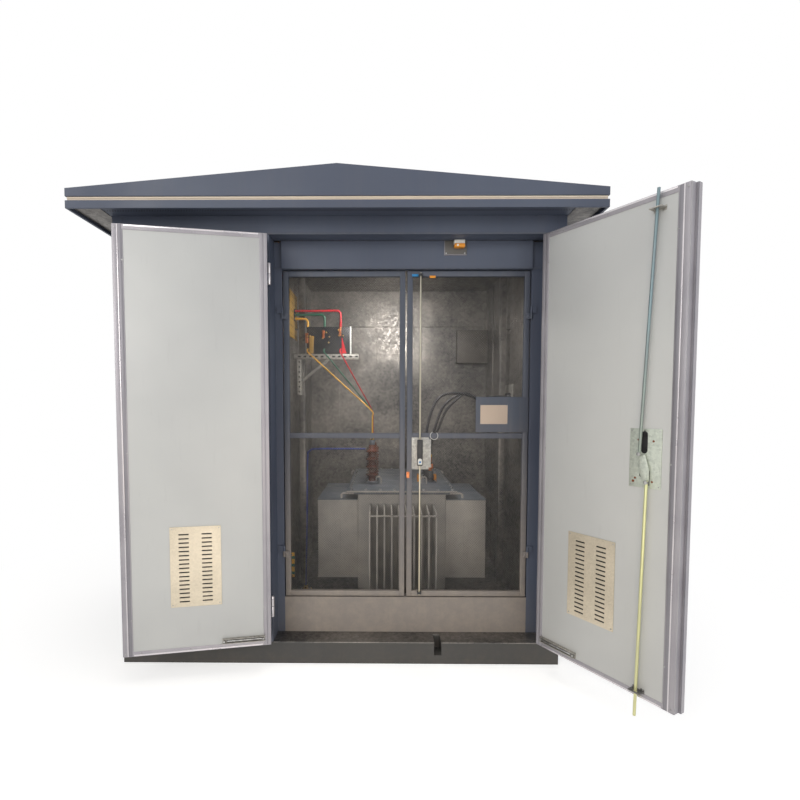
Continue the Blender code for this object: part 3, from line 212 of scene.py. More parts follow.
# %% Keep a finished piece
SHARP_FROM = radians(35)


def keep(name, piece, finishes, body, replaced=()):
    """Makes an object of a finished piece and gives it its finish and its body."""
    mesh = bpy.data.meshes.new(name)
    piece.to_mesh(mesh)
    piece.free()
    mesh.shade_smooth()
    mesh.set_sharp_from_angle(angle=SHARP_FROM)
    made = bpy.data.objects.new(name, mesh)
    scene.collection.objects.link(made)
    for material in finishes:
        mesh.materials.append(material)
    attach(made, body)
    if replaced:
        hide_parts(*replaced)
    print(name, "has", len(mesh.polygons), "faces")


# %% [markdown]
# ## Finishes
# A finish here is one Principled shader. What is the same all over the
# surface, such as how metallic it is, is typed into the shader itself. What
# varies, such as dirt, grain and spangle, is drawn by noise in the object's
# own coordinates, in metres, so its scale can be compared with a ruler.

# %% Tools for finishes
def screen(red, green, blue):
    """The linear colour of a screen colour given as 0 to 255."""
    values = []
    for value in (red, green, blue):
        value /= 255
        values.append(value / 12.92 if value <= 0.04045 else ((value + 0.055) / 1.055) ** 2.4)
    return (*values, 1.0)


def fill_socket(tree, socket, value):
    """Links a socket to another node's output, or types a value into it."""
    if isinstance(value, bpy.types.NodeSocket):
        tree.links.new(value, socket)
    else:
        socket.default_value = value


def add_node(tree, kind, values=(), **settings):
    """Adds a node, sets it, and fills its named or numbered sockets."""
    node = tree.nodes.new("ShaderNode" + kind)
    for name, setting in settings.items():
        setattr(node, name, setting)
    for key, value in dict(values).items():
        fill_socket(tree, node.inputs[key], value)
    return node


class Finish:
    """A material and the few node moves that this object's finishes need."""

    def __init__(self, name, metallic, roughness, colour):
        self.material = bpy.data.materials.new(name)
        self.material.use_nodes = True
        self.material.diffuse_color = colour
        self.tree = self.material.node_tree
        self.shader = self.tree.nodes["Principled BSDF"]
        self.put("Metallic", metallic)
        self.put("Roughness", roughness)
        self.put("Base Color", colour)
        self.place = self.node("TexCoord").outputs["Object"]

    def put(self, name, value):
        """Fills one socket of the shader."""
        fill_socket(self.tree, self.shader.inputs[name], value)

    def node(self, kind, values=(), **settings):
        return add_node(self.tree, kind, values, **settings)

    def stretched(self, x, y, z):
        """The place, squeezed along each axis, for grain and streaks."""
        return self.node("Mapping", {"Scale": (x, y, z), "Vector": self.place}).outputs["Vector"]

    def cloud(self, size, detail=3.0, rough=0.5, where=None):
        """Soft noise whose blots are about size metres across."""
        values = {"Scale": 1.0 / size, "Detail": detail, "Roughness": rough, "Vector": where or self.place}
        return self.node("TexNoise", values).outputs["Fac"]

    def crystals(self, size):
        """Two random values for each cell of about size metres."""
        cells = self.node("TexVoronoi", {"Scale": 1.0 / size, "Vector": self.place})
        split = self.node("SeparateColor", {"Color": cells.outputs["Color"]})
        return split.outputs["Red"], split.outputs["Green"]

    def ranged(self, value, low, high, start=0.0, end=1.0):
        """A value mapped from low..high to start..end and clamped."""
        values = {"Value": value, "From Min": low, "From Max": high, "To Min": start, "To Max": end}
        return self.node("MapRange", values).outputs["Result"]

    def mixed(self, factor, first, second):
        """Two colours, or a colour and a node's output, mixed by a factor."""
        node = self.node("Mix", data_type="RGBA")
        fill_socket(self.tree, node.inputs["Factor"], factor)
        for side, value in (("A", first), ("B", second)):
            socket = [s for s in node.inputs if s.name == side and s.type == "RGBA"][0]
            fill_socket(self.tree, socket, value)
        return [s for s in node.outputs if s.type == "RGBA"][0]

    def height(self):
        return self.node("SeparateXYZ", {"Vector": self.place}).outputs["Z"]

    def sum(self, first, second):
        return self.node("Math", {0: first, 1: second}, operation="ADD").outputs["Value"]

    def product(self, first, second):
        return self.node("Math", {0: first, 1: second}, operation="MULTIPLY").outputs["Value"]

    def colour(self, source):
        self.put("Base Color", source)

    def rough(self, source):
        self.put("Roughness", source)

    def relief(self, source, depth):
        """Raises the surface by depth metres where source is 1."""
        bump = self.node("Bump", {"Strength": 1.0, "Distance": depth, "Height": source})
        self.put("Normal", bump.outputs["Normal"])


# %% [markdown]
# ### Powder coat
# The housing is powder coated in a dark blue-grey. Powder coat has a fine
# orange peel, a satin sheen that varies a little from sheet to sheet, and on
# a kiosk that stands outside, pale dust that has splashed up from the ground
# and settled on ledges. On the inner frames this pale band reaches higher and
# is also painted light: sun and light off the ground on their lower part.

# %% Housing paint
def make_paint(name, light, dark, dust_and_light_tone, top=0.42, bottom=0.02, share=0.55, peak=1.0):
    """Powder coat with a pale band of dust and painted light that thins out from the height bottom up to top.
    """
    finish = Finish(name, 0.0, 0.42, light)
    body = finish.mixed(finish.ranged(finish.cloud(0.9, 2.0), 0.35, 0.65), dark, light)
    # The pale band low down is dust, and on the frames it is also painted sunlight and ground light.
    low_dust_and_light = finish.ranged(finish.height(), top, bottom, 0.0, peak)
    grit = finish.ranged(finish.cloud(0.05, 6.0, 0.7), 0.42, 0.72, 1.0 - share, 1.0)
    streaks = finish.ranged(finish.cloud(0.03, 4.0, 0.6, finish.stretched(1, 1, 0.06)), 0.45, 0.75)
    dust_and_light_share = finish.product(low_dust_and_light, grit)
    film = finish.product(streaks, 0.07)
    finish.colour(finish.mixed(finish.sum(dust_and_light_share, film), body, dust_and_light_tone))
    finish.rough(finish.ranged(finish.cloud(0.25, 4.0), 0.3, 0.7, 0.46, 0.62))
    finish.relief(finish.cloud(0.0035, 2.0), 0.00025)
    return finish.material


housing_paint = make_paint(
    "housing_paint", screen(82, 90, 107), screen(72, 79, 96), screen(104, 101, 98), peak=0.5
)
# The frames' pale band, from 0.30 m up to 1.25 m, is dust and also painted light: sun and ground light on
# their lower part.
frame_paint = make_paint(
    "frame_paint", screen(84, 90, 103), screen(74, 80, 93), screen(156, 145, 133), 1.25, 0.30, 0.25, 0.85
)
base_paint = make_paint(
    "base_paint", screen(70, 69, 67), screen(58, 58, 58), screen(96, 88, 78), 0.14, 0.0, 0.8, 0.4
)
print("Three housing paints made")

# %% [markdown]
# ### Galvanised sheet
# Zinc sets in crystals a centimetre or two across, each leaning its own way,
# so neighbouring ones catch the light differently. A Voronoi texture gives
# every cell two random values: one sets its tint and its height, the other
# its sheen. Larger clouds make the blotches that show in sheet linings.

# %% Galvanised sheet
def make_zinc(name, bright, dull, size, metallic, rough_low, rough_high, blotch=0.35):
    finish = Finish(name, metallic, rough_low, bright)
    tint, sheen = finish.crystals(size)
    fine, _ = finish.crystals(size * 0.37)
    clouds = finish.ranged(finish.cloud(0.45, 3.0, 0.55), 0.38, 0.62)
    cell = finish.sum(finish.product(tint, 0.65), finish.product(fine, 0.35))
    share = finish.sum(finish.product(cell, 1 - blotch), finish.product(clouds, blotch))
    finish.colour(finish.mixed(share, dull, bright))
    finish.rough(finish.ranged(sheen, 0.0, 1.0, rough_low, rough_high))
    finish.relief(finish.sum(cell, finish.product(finish.cloud(0.12, 2.0), 5.0)), 0.0006)
    return finish.material


lining_zinc = make_zinc(
    "lining_zinc", screen(150, 145, 139), screen(72, 72, 73), 0.016, 0.75, 0.30, 0.52, 0.55
)
bracket_zinc = make_zinc(
    "bracket_zinc", screen(188, 184, 176), screen(128, 127, 124), 0.010, 0.7, 0.34, 0.5
)
plate_zinc = make_zinc(
    "plate_zinc", screen(212, 218, 206), screen(168, 176, 166), 0.009, 0.4, 0.32, 0.5
)
# The louvre zinc's cream tint is painted reflection of warm light off the ground, over the zinc's own pale
# grey.
louvre_zinc_warm_reflection = make_zinc(
    "louvre_zinc_warm_reflection", screen(228, 216, 194), screen(190, 180, 160), 0.006, 0.5, 0.28, 0.42, 0.6
)
print("Four zinc finishes made")

# %% [markdown]
# ### Door lining, aluminium and strip
# The inside of each outer door is a pale coated sheet, held by extruded
# aluminium trim. The extrusion has drawing lines along its length, so its
# grain is noise squeezed on the vertical axis. The eave strip is cream.

# %% Pale sheet, trim and strip
def make_sheet(name, light, dark, roughness):
    finish = Finish(name, 0.0, roughness, light)
    share = finish.ranged(finish.cloud(0.7, 3.0), 0.35, 0.65)
    marks = finish.ranged(finish.cloud(0.02, 5.0, 0.65, finish.stretched(1, 1, 0.12)), 0.60, 0.80, 0.0, 0.18)
    clean = finish.mixed(share, dark, light)
    finish.colour(finish.mixed(marks, clean, tuple(0.72 * v for v in dark[:3]) + (1.0,)))
    finish.rough(finish.ranged(finish.cloud(0.3, 3.0), 0.3, 0.7, roughness - 0.05, roughness + 0.08))
    finish.relief(finish.cloud(0.004, 2.0), 0.00012)
    return finish.material


def make_drawn(name, light, dark, metallic, roughness):
    """Drawn or brushed metal: fine lines along the height."""
    finish = Finish(name, metallic, roughness, light)
    lines = finish.cloud(0.0012, 3.0, 0.6, finish.stretched(1, 1, 0.004))
    patches = finish.cloud(0.15, 3.0)
    share = finish.sum(finish.product(lines, 0.5), finish.product(patches, 0.5))
    finish.colour(finish.mixed(finish.ranged(share, 0.35, 0.65), dark, light))
    finish.rough(finish.ranged(patches, 0.3, 0.7, roughness - 0.06, roughness + 0.08))
    finish.relief(lines, 0.00006)
    return finish.material


lining_pale = make_sheet("lining_pale", screen(202, 204, 203), screen(192, 194, 194), 0.38)
card_pale = make_sheet("card_pale", screen(202, 182, 164), screen(190, 172, 156), 0.45)
strip_cream = make_sheet("strip_cream", screen(228, 213, 194), screen(216, 203, 186), 0.4)
# The dull copy of the trim metal is painted shade in grooves and on lower steps; the bright copy is a painted
# highlight along the raised strips and on the hinge barrels.
trim_metal = make_drawn("trim_metal", screen(172, 169, 174), screen(152, 149, 156), 0.4, 0.42)
dull_trim_and_shade = make_drawn("dull_trim_and_shade", screen(144, 142, 148), screen(128, 126, 132), 0.5, 0.45)
bright_trim_and_highlight = make_drawn("bright_trim_and_highlight", screen(222, 218, 220), screen(200, 196, 200), 0.7, 0.30)
print("Pale sheet, trim and strip made")

# %% [markdown]
# ### The transformer and the smaller finishes
# The tank is painted plain grey and has the thin dust of a closed room. A
# darker copy of the grey is painted shade and painted dark reflection: on
# the lid, on the band under it, on the fins' top plates and at the feet of
# the bushings. The insulators are brown glazed porcelain, which is glossy.
# The sleeves and cables are plastic and rubber. Fasteners and rods have zinc
# passivation, which is yellow where it is thick and blue-green where it is
# thin.

# %% Transformer paint
def make_coat(name, light, dark, roughness, grain=0.004, depth=0.00012, dust=0.25):
    """Paint or plastic with slow changes of tone and a film of dust."""
    finish = Finish(name, 0.0, roughness, light)
    tone = finish.mixed(finish.ranged(finish.cloud(0.2, 4.0), 0.35, 0.65), dark, light)
    specks = finish.ranged(finish.cloud(0.012, 5.0, 0.7), 0.5, 0.8, 0.0, dust)
    finish.colour(finish.mixed(specks, tone, tuple(v * 0.8 + 0.06 for v in light[:3]) + (1.0,)))
    finish.rough(finish.ranged(finish.cloud(0.08, 4.0), 0.3, 0.7, roughness - 0.06, roughness + 0.1))
    finish.relief(finish.cloud(grain, 2.0), depth)
    return finish.material


def make_metal(name, light, dark, metallic, roughness, spot=0.02):
    """Bare or plated metal with tarnish in small patches."""
    finish = Finish(name, metallic, roughness, light)
    finish.colour(finish.mixed(finish.ranged(finish.cloud(spot, 4.0, 0.6), 0.35, 0.65), dark, light))
    finish.rough(finish.ranged(finish.cloud(spot * 0.7, 3.0), 0.3, 0.7, roughness - 0.08, roughness + 0.1))
    finish.relief(finish.cloud(0.002, 2.0), 0.00008)
    return finish.material


tank_paint = make_coat("tank_paint", screen(168, 162, 154), screen(146, 142, 137), 0.4)
# The lid grey is the tank grey darkened: painted shade and the painted dark reflection of the room.
tank_paint_shade_and_reflection = make_coat("tank_paint_shade_and_reflection", screen(96, 102, 110), screen(78, 84, 92), 0.42)
panel_brown = make_coat("panel_brown", screen(88, 83, 78), screen(70, 66, 62), 0.55)
porcelain = make_coat("porcelain", screen(104, 56, 38), screen(72, 36, 26), 0.12, 0.02, 0.0002, 0.1)
black_rubber = make_coat("black_rubber", screen(44, 44, 48), screen(32, 32, 35), 0.5, 0.003, 0.0002)
black_board = make_coat("black_board", screen(40, 40, 44), screen(28, 28, 31), 0.38)
red_sleeve = make_coat("red_sleeve", screen(206, 40, 50), screen(178, 30, 42), 0.36)
green_sleeve = make_coat("green_sleeve", screen(40, 102, 78), screen(30, 82, 64), 0.36)
yellow_sleeve = make_coat("yellow_sleeve", screen(222, 168, 44), screen(200, 146, 36), 0.36)
blue_sleeve = make_coat("blue_sleeve", screen(36, 54, 128), screen(28, 42, 104), 0.36)
ochre_sheet = make_coat("ochre_sheet", screen(178, 142, 70), screen(150, 118, 58), 0.5)
white_plastic = make_coat("white_plastic", screen(228, 228, 224), screen(214, 214, 210), 0.35)
orange_plastic = make_coat("orange_plastic", screen(230, 150, 40), screen(210, 130, 34), 0.35)
copper = make_metal("copper", screen(214, 138, 94), screen(170, 98, 62), 0.9, 0.3)
brass = make_metal("brass", screen(214, 184, 110), screen(176, 144, 84), 0.9, 0.28)
steel = make_metal("steel", screen(188, 188, 186), screen(138, 138, 138), 0.9, 0.32)
dark_wire = make_metal("dark_wire", screen(132, 130, 126), screen(92, 92, 94), 0.6, 0.45, 0.05)
shadow = make_coat("shadow", screen(30, 30, 32), screen(22, 22, 24), 0.7, dust=0.05)
print("Small finishes made")

# %% Passivated rods
def make_rod_zinc(name, low_tone, high_tone, wear_tone, low=0.9, high=1.45):
    """Zinc passivation whose tint changes from one height to another."""
    finish = Finish(name, 0.45, 0.38, low_tone)
    tones = finish.mixed(finish.ranged(finish.height(), low, high), low_tone, high_tone)
    wear = finish.ranged(finish.cloud(0.05, 4.0, 0.6, finish.stretched(1, 1, 0.3)), 0.45, 0.75)
    finish.colour(finish.mixed(finish.product(wear, 0.45), tones, wear_tone))
    finish.relief(finish.cloud(0.003, 2.0), 0.00008)
    return finish.material


rod_zinc = make_rod_zinc("rod_zinc", screen(212, 212, 158), screen(178, 190, 158), screen(176, 172, 148))
rod_blue = make_rod_zinc(
    "rod_blue", screen(150, 160, 150), screen(122, 142, 148), screen(126, 130, 132), 1.1, 1.7
)
rod_pale = make_rod_zinc(
    "rod_pale", screen(205, 196, 172), screen(188, 184, 168), screen(160, 152, 138), 0.5, 1.6
)
print("Rod finishes made")

# %% [markdown]
# ## Cords and bars
# Three insulated conductors run from the terminal board down to the
# high-voltage bushings, a blue earth conductor runs level towards the
# partition and then down to the floor, and three black cables arch from the
# low-voltage bushings to the gland plate on the right wall. Each is one
# smooth curve through the same stations as in the CAD model, with both ends
# fixed, so its whole length shows.

# %% A smooth route through stations
def smooth_route(stations, spacing):
    """Points of a smooth curve through the stations, about one spacing apart."""
    ends = [2 * stations[0] - stations[1]] + stations + [2 * stations[-1] - stations[-2]]
    points = []
    for before, start, end, after in zip(ends, ends[1:], ends[2:], ends[3:]):
        steps = max(1, round((end - start).length / spacing))
        for step in range(steps):
            t = step / steps
            points.append(
                0.5 * (2 * start + (end - before) * t
                       + (2 * before - 5 * start + 4 * end - after) * t * t
                       + (3 * start - before - 3 * end + after) * t ** 3)
            )
    points.append(stations[-1])
    return points


def make_line(name, stations, radius, finish, body, replaced, spacing=None):
    """A round cable or bar along a smooth route; gives the object and its length."""
    stations = [Vector(point) for point in stations]
    first = stations[0] + (stations[1] - stations[0]).normalized() * 2 * radius
    last = stations[-1] + (stations[-2] - stations[-1]).normalized() * 2 * radius
    stations = [stations[0], first] + stations[1:-1] + [last, stations[-1]]
    route = smooth_route(stations, spacing or 3 * radius)
    curve = bpy.data.curves.new(name, "CURVE")
    curve.dimensions = "3D"
    curve.bevel_depth = radius
    curve.bevel_resolution = 4
    curve.use_fill_caps = True
    line = curve.splines.new("POLY")
    line.points.add(len(route) - 1)
    for slot_point, point in zip(line.points, route):
        slot_point.co = (*point, 1.0)
    line.use_smooth = True
    curve.materials.append(finish)
    made = bpy.data.objects.new(name, curve)
    scene.collection.objects.link(made)
    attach(made, body)
    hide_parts(replaced)
    length = sum((b - a).length for a, b in zip(route, route[1:]))
    return made, length


# %% High-voltage conductors
BUSHING_X, BUSHING_TOP_Z = 0.147, 1.1149
PHASES = {
    "yellow": (-0.271, -0.135, yellow_sleeve),
    "green": (-0.164, 0.0, green_sleeve),
    "red": (-0.060, 0.135, red_sleeve),
}
for phase, (column, bushing_y, sleeve) in PHASES.items():
    kink_x = BUSHING_X - 0.008
    bend_x = column + 0.159743 * (kink_x - column)
    stations = [
        (column, -0.0413, 1.668),
        (column, -0.066, 1.648),
        (bend_x, -0.066, 1.5884),
        ((bend_x + kink_x) / 2, (-0.066 + bushing_y) / 2, 1.43165),
        (kink_x, bushing_y, 1.2749),
        (BUSHING_X, bushing_y, 1.2349),
        (BUSHING_X, bushing_y, BUSHING_TOP_Z),
    ]
    made, length = make_line(
        f"{phase}_wire", stations, 0.004, sleeve, "housing", f"{phase}_conductor"
    )
    print(phase, "conductor is", round(length, 3), "m")

# %% Blue conductor
FLOOR_TOP = 0.1126
stations = [
    (0.1047, -0.135, 1.030),
    (-0.0575, -0.135, 1.030),
    (-0.238, -0.135, 1.027),
    (-0.262, -0.135, 1.006),
    (-0.271, -0.135, 0.515),
    (-0.280, -0.135, FLOOR_TOP),
]
made, length = make_line(
    "blue_wire", stations, 0.006, blue_sleeve, "housing", "blue_conductor", 0.036
)
print("Blue conductor is", round(length, 3), "m")

# %% Low-voltage cables
LV_X, LV_TOP = 0.520, 0.9299
LV_ROW = (-0.08, 0.04, 0.16, 0.28)
GLAND_ROW, GLAND_Z = [0.04 + (index - 1) * 0.06 for index in range(3)], 1.360
REACH = 0.5201
cable_routes = []
for index, (y, end_y, lean) in enumerate(zip(LV_ROW, GLAND_ROW, (-0.022, 0.038, 0.074))):
    lag = 0.65 * (lean + 0.022)
    stations = [
        (LV_X, y, LV_TOP),
        (LV_X, y, LV_TOP + 0.045),
        (LV_X + lean, (3 * y + end_y) / 4, 1.145),
        (LV_X + 0.0933 * REACH + 1.4 * lag, (y + end_y) / 2, 1.346 - lag),
        (LV_X + 0.3461 * REACH + 1.2 * lag, (y + 3 * end_y) / 4, 1.385),
        (LV_X + 0.6230 * REACH, end_y, 1.351),
        (0.9684, end_y, GLAND_Z),
        (1.0401, end_y, GLAND_Z),
    ]
    cable_routes.append(stations)
    made, length = make_line(
        f"black_cable_{index + 1}", stations, 0.009, black_rubber, "housing",
        f"lv_cable_{index + 1}"
    )
    print("Cable", index + 1, "is", round(length, 3), "m")

# %% [markdown]
# The three phase bars leave the partition at three heights and turn down on
# to the board. They are rigid bars in coloured sleeves, so they are curves
# too, but they aren't cords.

# %% Phase bars
wall_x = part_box("partition")[1].x + 0.0003
board_low, board_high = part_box("terminal_board")
board_y = (board_low.y + board_high.y) / 2
for (phase, (column, _, sleeve)), rise in zip(PHASES.items(), (0.051, 0.077, 0.102)):
    height = board_high.z + rise
    stations = [
        (wall_x, board_y, height),
        (wall_x + (column - wall_x) / 2, board_y, height),
        (column - 0.015, board_y, height),
        (column, board_y, height - 0.015),
        (column, board_y, board_high.z + 0.0003),
    ]
    make_line(f"{phase}_phase_bar", stations, 0.0075, sleeve, "housing",
              f"{phase}_bar")
print("Three phase bars made")

# %% [markdown]
# ## Sheet-metal housing
# The CAD walls, roof, base and frames already have the right shape. A CAD
# mesh comes as loose triangles, so a Weld modifier joins them and a Bevel
# modifier then breaks the sharp corners as a press brake would. The mesh
# itself isn't touched.

# %% Finish the CAD sheets
def finish_node(name, material, edge=0.0015):
    """Gives a CAD node its finish and soft corners."""
    node = nodes[name]
    node.data.materials.clear()
    node.data.materials.append(material)
    if edge:
        weld = node.modifiers.new("weld", "WELD")
        weld.merge_threshold = 0.00002
        bevel = node.modifiers.new("corners", "BEVEL")
        bevel.width = edge
        bevel.segments = 2
        bevel.limit_method = "ANGLE"
        bevel.angle_limit = radians(40)
        bevel.use_clamp_overlap = True


PAINTED = (
    "left_wall", "right_wall", "rear_wall", "left_bay_door", "front_beam", "roof_tray",
    "roof_cap", "left_door_leaf", "right_door_leaf", "header_panel", "left_jamb", "right_jamb",
)
for name in PAINTED:
    finish_node(name, housing_paint)
finish_node("kick_panel", frame_paint)
finish_node("base_frame", base_paint)
for name in ("floor_plate", "partition", "right_lining", "back_lining"):
    finish_node(name, lining_zinc, 0.0)
print(len(PAINTED) + 2, "painted sheets finished")

# %% [markdown]
# ## Outer doors: where they stand
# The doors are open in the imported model. Their closed place is the easy one
# to model in: the hinge line is the origin, the leaf runs along X, and the
# inside faces +Y. One matrix for each door then carries the finished parts
# out to where the door stands.

# %% Door places
def door_place(joint_name):
    """The move from a door's closed place at its hinge to where it stands."""
    joint = [j for j in frame["joints"] if j["name"] == joint_name][0]
    x, y, _ = joint["pos_m"]
    turn = Matrix.Rotation(radians(-joint["range_deg"][0]), 4, Vector(joint["axis"]))
    return Matrix.Translation((x, y, 0)) @ turn


left_door = door_place("left_door_swing")
right_door = door_place("right_door_swing")
left_mesh = door_place("left_mesh_swing")
right_mesh = door_place("right_mesh_swing")
DOOR_LOW, DOOR_HIGH = 0.1343, 2.112
print("Left door turned to", [round(v, 2) for v in left_door @ Vector((0.68, 0, 0))])

# %% [markdown]
# Each leaf is lined with a pale sheet between four aluminium trims, mitred
# at the corners. The trim on the free edge is wide and stepped, where the
# leaf laps over its neighbour. The trims stand a hair above the sheet, which
# gives the thin shadow line round it.

# %% Door linings and trims
def add_trim_frame(piece, side, reach, widths, low_y, high_y, finish=0, place=None):
    """Four mitred trims round a door: hinge side, free side, bottom and top."""
    near, far = side * 0.006, side * reach
    hinge, free, bottom, top = widths
    inner_near, inner_far = near + side * hinge, far - side * free
    low, high = DOOR_LOW, DOOR_HIGH
    inner_low, inner_high = low + bottom, high - top
    corners = {
        "hinge": [(near, low), (inner_near, inner_low), (inner_near, inner_high), (near, high)],
        "free": [(far, low), (far, high), (inner_far, inner_high), (inner_far, inner_low)],
        "bottom": [(near, low), (far, low), (inner_far, inner_low), (inner_near, inner_low)],
        "top": [(near, high), (inner_near, inner_high), (inner_far, inner_high), (far, high)],
    }
    for outline in corners.values():
        points = [(x, low_y, z) for x, z in outline]
        add_sheet(piece, points, (0, high_y - low_y, 0), 0.0007, finish, place)


def add_screw(piece, x, z, y, radius=0.004, finish=0, place=None):
    """A low dome head with a rim, standing on the inside of a door."""
    profile = [(radius, 0.0), (radius, 0.0004), (radius * 0.85, 0.0012), (radius * 0.4, 0.0018)]
    add_turned(piece, profile, (x, y, z), (0, 1, 0), finish, place, sides=12)


STRIP_FOOT, SCREW_FOOT = 0.0625, 0.0629
# The last column is the finish: 1 paints shade on the groove and the lower step, 2 paints the highlight line.
HINGE_STRIPS = ((0.020, 0.014, 0.0640, 0), (0.0165, 0.0028, 0.0629, 1), (0.001, 0.0150, 0.0636, 0))
FREE_STRIPS = ((0.0020, 0.0200, 0.0642, 0), (0.0215, 0.0050, 0.0654, 2), (0.0270, 0.0150, 0.0638, 1))


def dress_door(label, side, reach, place, replaced):
    """Lining, trims, screws and hinges of one outer door."""
    body = f"{label}_door"

    def add_strip(near, far, top, z_low, z_high, edge, finish):
        """A strip of trim across the leaf, standing up to top."""
        low, high = across(side, near, far)
        add_block(trims, (low, STRIP_FOOT, z_low), (high, top, z_high), edge, finish, place)

    lining = bmesh.new()
    near, far = across(side, 0.0062, reach - 0.0002)
    add_block(lining, (near, 0.0506, DOOR_LOW + 0.0002), (far, 0.0612, DOOR_HIGH - 0.0002), 0.0006, 0, place)
    keep(f"{label}_door_sheet", lining, [lining_pale], body, replaced)
    trims = bmesh.new()
    add_trim_frame(trims, side, reach - 0.0008, (0.036, 0.046, 0.023, 0.024), 0.0609, 0.0628, 0, place)
    for offset, width, top, finish in HINGE_STRIPS:
        start = 0.006 + offset
        add_strip(start, start + width, top, DOOR_LOW + 0.003, DOOR_HIGH - 0.003, 0.0006, finish)
    for offset, width, top, finish in FREE_STRIPS:
        start = reach - offset
        add_strip(start, start - width, top, DOOR_LOW + 0.002, DOOR_HIGH - 0.002, 0.0009, finish)
    for z_low, z_high in ((DOOR_HIGH - 0.0085, DOOR_HIGH - 0.0015), (DOOR_LOW + 0.0015, DOOR_LOW + 0.0085)):
        add_strip(0.046, reach - 0.050, 0.0642, z_low, z_high, 0.0008, 2)
    keep(f"{label}_door_trims", trims, [trim_metal, dull_trim_and_shade, bright_trim_and_highlight], body)
    spots = []
    for z in (0.305, 1.085, 1.955):
        spots += [(reach - 0.043, z, SCREW_FOOT, 0.004), (0.0405, z + 0.02, SCREW_FOOT, 0.003)]
    for x in (0.12, 0.34, 0.56):
        spots += [(x, DOOR_HIGH - 0.016, SCREW_FOOT, 0.003), (x + 0.04, DOOR_LOW + 0.015, SCREW_FOOT, 0.003)]
    spots += [(reach - 0.012, z, 0.0647, 0.0035) for z in (DOOR_HIGH - 0.016, DOOR_LOW + 0.016)]
    screws = bmesh.new()
    for x, z, y, radius in spots:
        add_screw(screws, side * x, z, y, radius, 0, place)
    keep(f"{label}_door_screws", screws, [steel], body)
    for half, foot, tip in (("moving", -0.0520, -0.0006), ("fixed", 0.0006, 0.0520)):
        hinge = bmesh.new()
        for height in (0.300, 1.940):
            add_bar(hinge, (0, 0, height + foot), (0, 0, height + tip), 0.0094, 0.0012, 0, place, 24)
        rides = body if half == "moving" else "housing"
        keep(f"{label}_hinge_barrels_{half}", hinge, [bright_trim_and_highlight], rides)


dress_door("left", 1, 0.681, left_door, ["left_door_liner"])
dress_door("right", -1, 0.671, right_door, ["right_door_liner"])

edge_cap = bmesh.new()
for left, right, inner, outer, finish in (
    (-0.6713, -0.6710, 0.0345, 0.0606, 0),
    (-0.6813, -0.6810, 0.0125, 0.0335, 0),
    (-0.6805, -0.6715, 0.0340, 0.0343, 1),
):
    low, high = (left, inner, DOOR_LOW + 0.001), (right, outer, DOOR_HIGH - 0.001)
    add_block(edge_cap, low, high, 0.0, finish, right_door)
keep("right_door_edge_cap", edge_cap, [trim_metal, dull_trim_and_shade], "right_door")

# %% [markdown]
# Low on each door sits a zinc louvre plate with two columns of slots. The
# plate is built as what stays when the slots are punched: three uprights and
# the strips between slots. A small lip under each slot is the metal that the
# punch pushed out, and a dark sheet behind is painted shade, the dark that
# shows through the slots. A painted twin of the plate sits on the outside of
# the leaf.

# %% Louvre plates
VENT_Z, VENT_WIDTH, VENT_HEIGHT = 0.545, 0.230, 0.382
SLOT_COLUMNS = ((-0.0735, -0.0275), (0.030, 0.076))
SLOT_COUNT, SLOT_PITCH, SLOT_GAP = 17, 0.0200, 0.0072


def add_louvres(piece, centre_x, face, place, out=1):
    """A plate with two columns of slots, its lips on the side that out points to."""
    half_w, half_h = VENT_WIDTH / 2, VENT_HEIGHT / 2
    low, high = sorted((face, face + out * 0.0013))
    edges = [-half_w] + [v for pair in SLOT_COLUMNS for v in pair] + [half_w]
    for left, right in zip(edges[0::2], edges[1::2]):
        add_block(piece, (centre_x + left, low, VENT_Z - half_h),
                  (centre_x + right, high, VENT_Z + half_h), 0.0, 0, place)
    slot_low = VENT_Z - half_h + 0.0215
    skin = face + out * 0.0008
    for left, right in SLOT_COLUMNS:
        bottom = VENT_Z - half_h
        for slot in range(SLOT_COUNT + 1):
            top = slot_low + slot * SLOT_PITCH if slot < SLOT_COUNT else VENT_Z + half_h
            add_block(piece, (centre_x + left, low, bottom), (centre_x + right, high, top), 0.0, 0, place)
            bottom = top + SLOT_GAP
            if slot < SLOT_COUNT:
                lip = [
                    (centre_x + left, skin, top - 0.0022),
                    (centre_x + right, skin, top - 0.0022),
                    (centre_x + right, skin + out * 0.0021, top + 0.0006),
                    (centre_x + left, skin + out * 0.0021, top + 0.0006),
                ]
                add_sheet(piece, lip, (0, -out * 0.0006, 0.0008), 0.0, 0, place)


def add_louvre_plate(label, side, offset, place):
    """The louvre on the inside of a door, and its twin on the outside."""
    body = f"{label}_door"
    # The dark sheet behind the slots is painted shade.
    painted_shade_sheet = bmesh.new()
    x = side * offset
    low, high = (x - 0.100, 0.0611, VENT_Z - 0.173), (x + 0.100, 0.0617, VENT_Z + 0.173)
    add_block(painted_shade_sheet, low, high, 0.0, 0, place)
    keep(f"{label}_louvre_painted_shade", painted_shade_sheet, [shadow], body)
    plate = bmesh.new()
    add_louvres(plate, x, 0.0626, place)
    for sx in (-0.106, 0.106):
        for sz in (-0.181, 0.181):
            add_screw(plate, x + sx, VENT_Z + sz, 0.0638, 0.0028, 1, place)
    keep(f"{label}_louvre_plate", plate, [louvre_zinc_warm_reflection, steel], body)
    outside = bmesh.new()
    add_louvres(outside, x, 0.0116, place, -1)
    keep(f"{label}_outer_louvre", outside, [housing_paint], body)


add_louvre_plate("left", 1, 0.350, left_door)
add_louvre_plate("right", -1, 0.298, right_door)

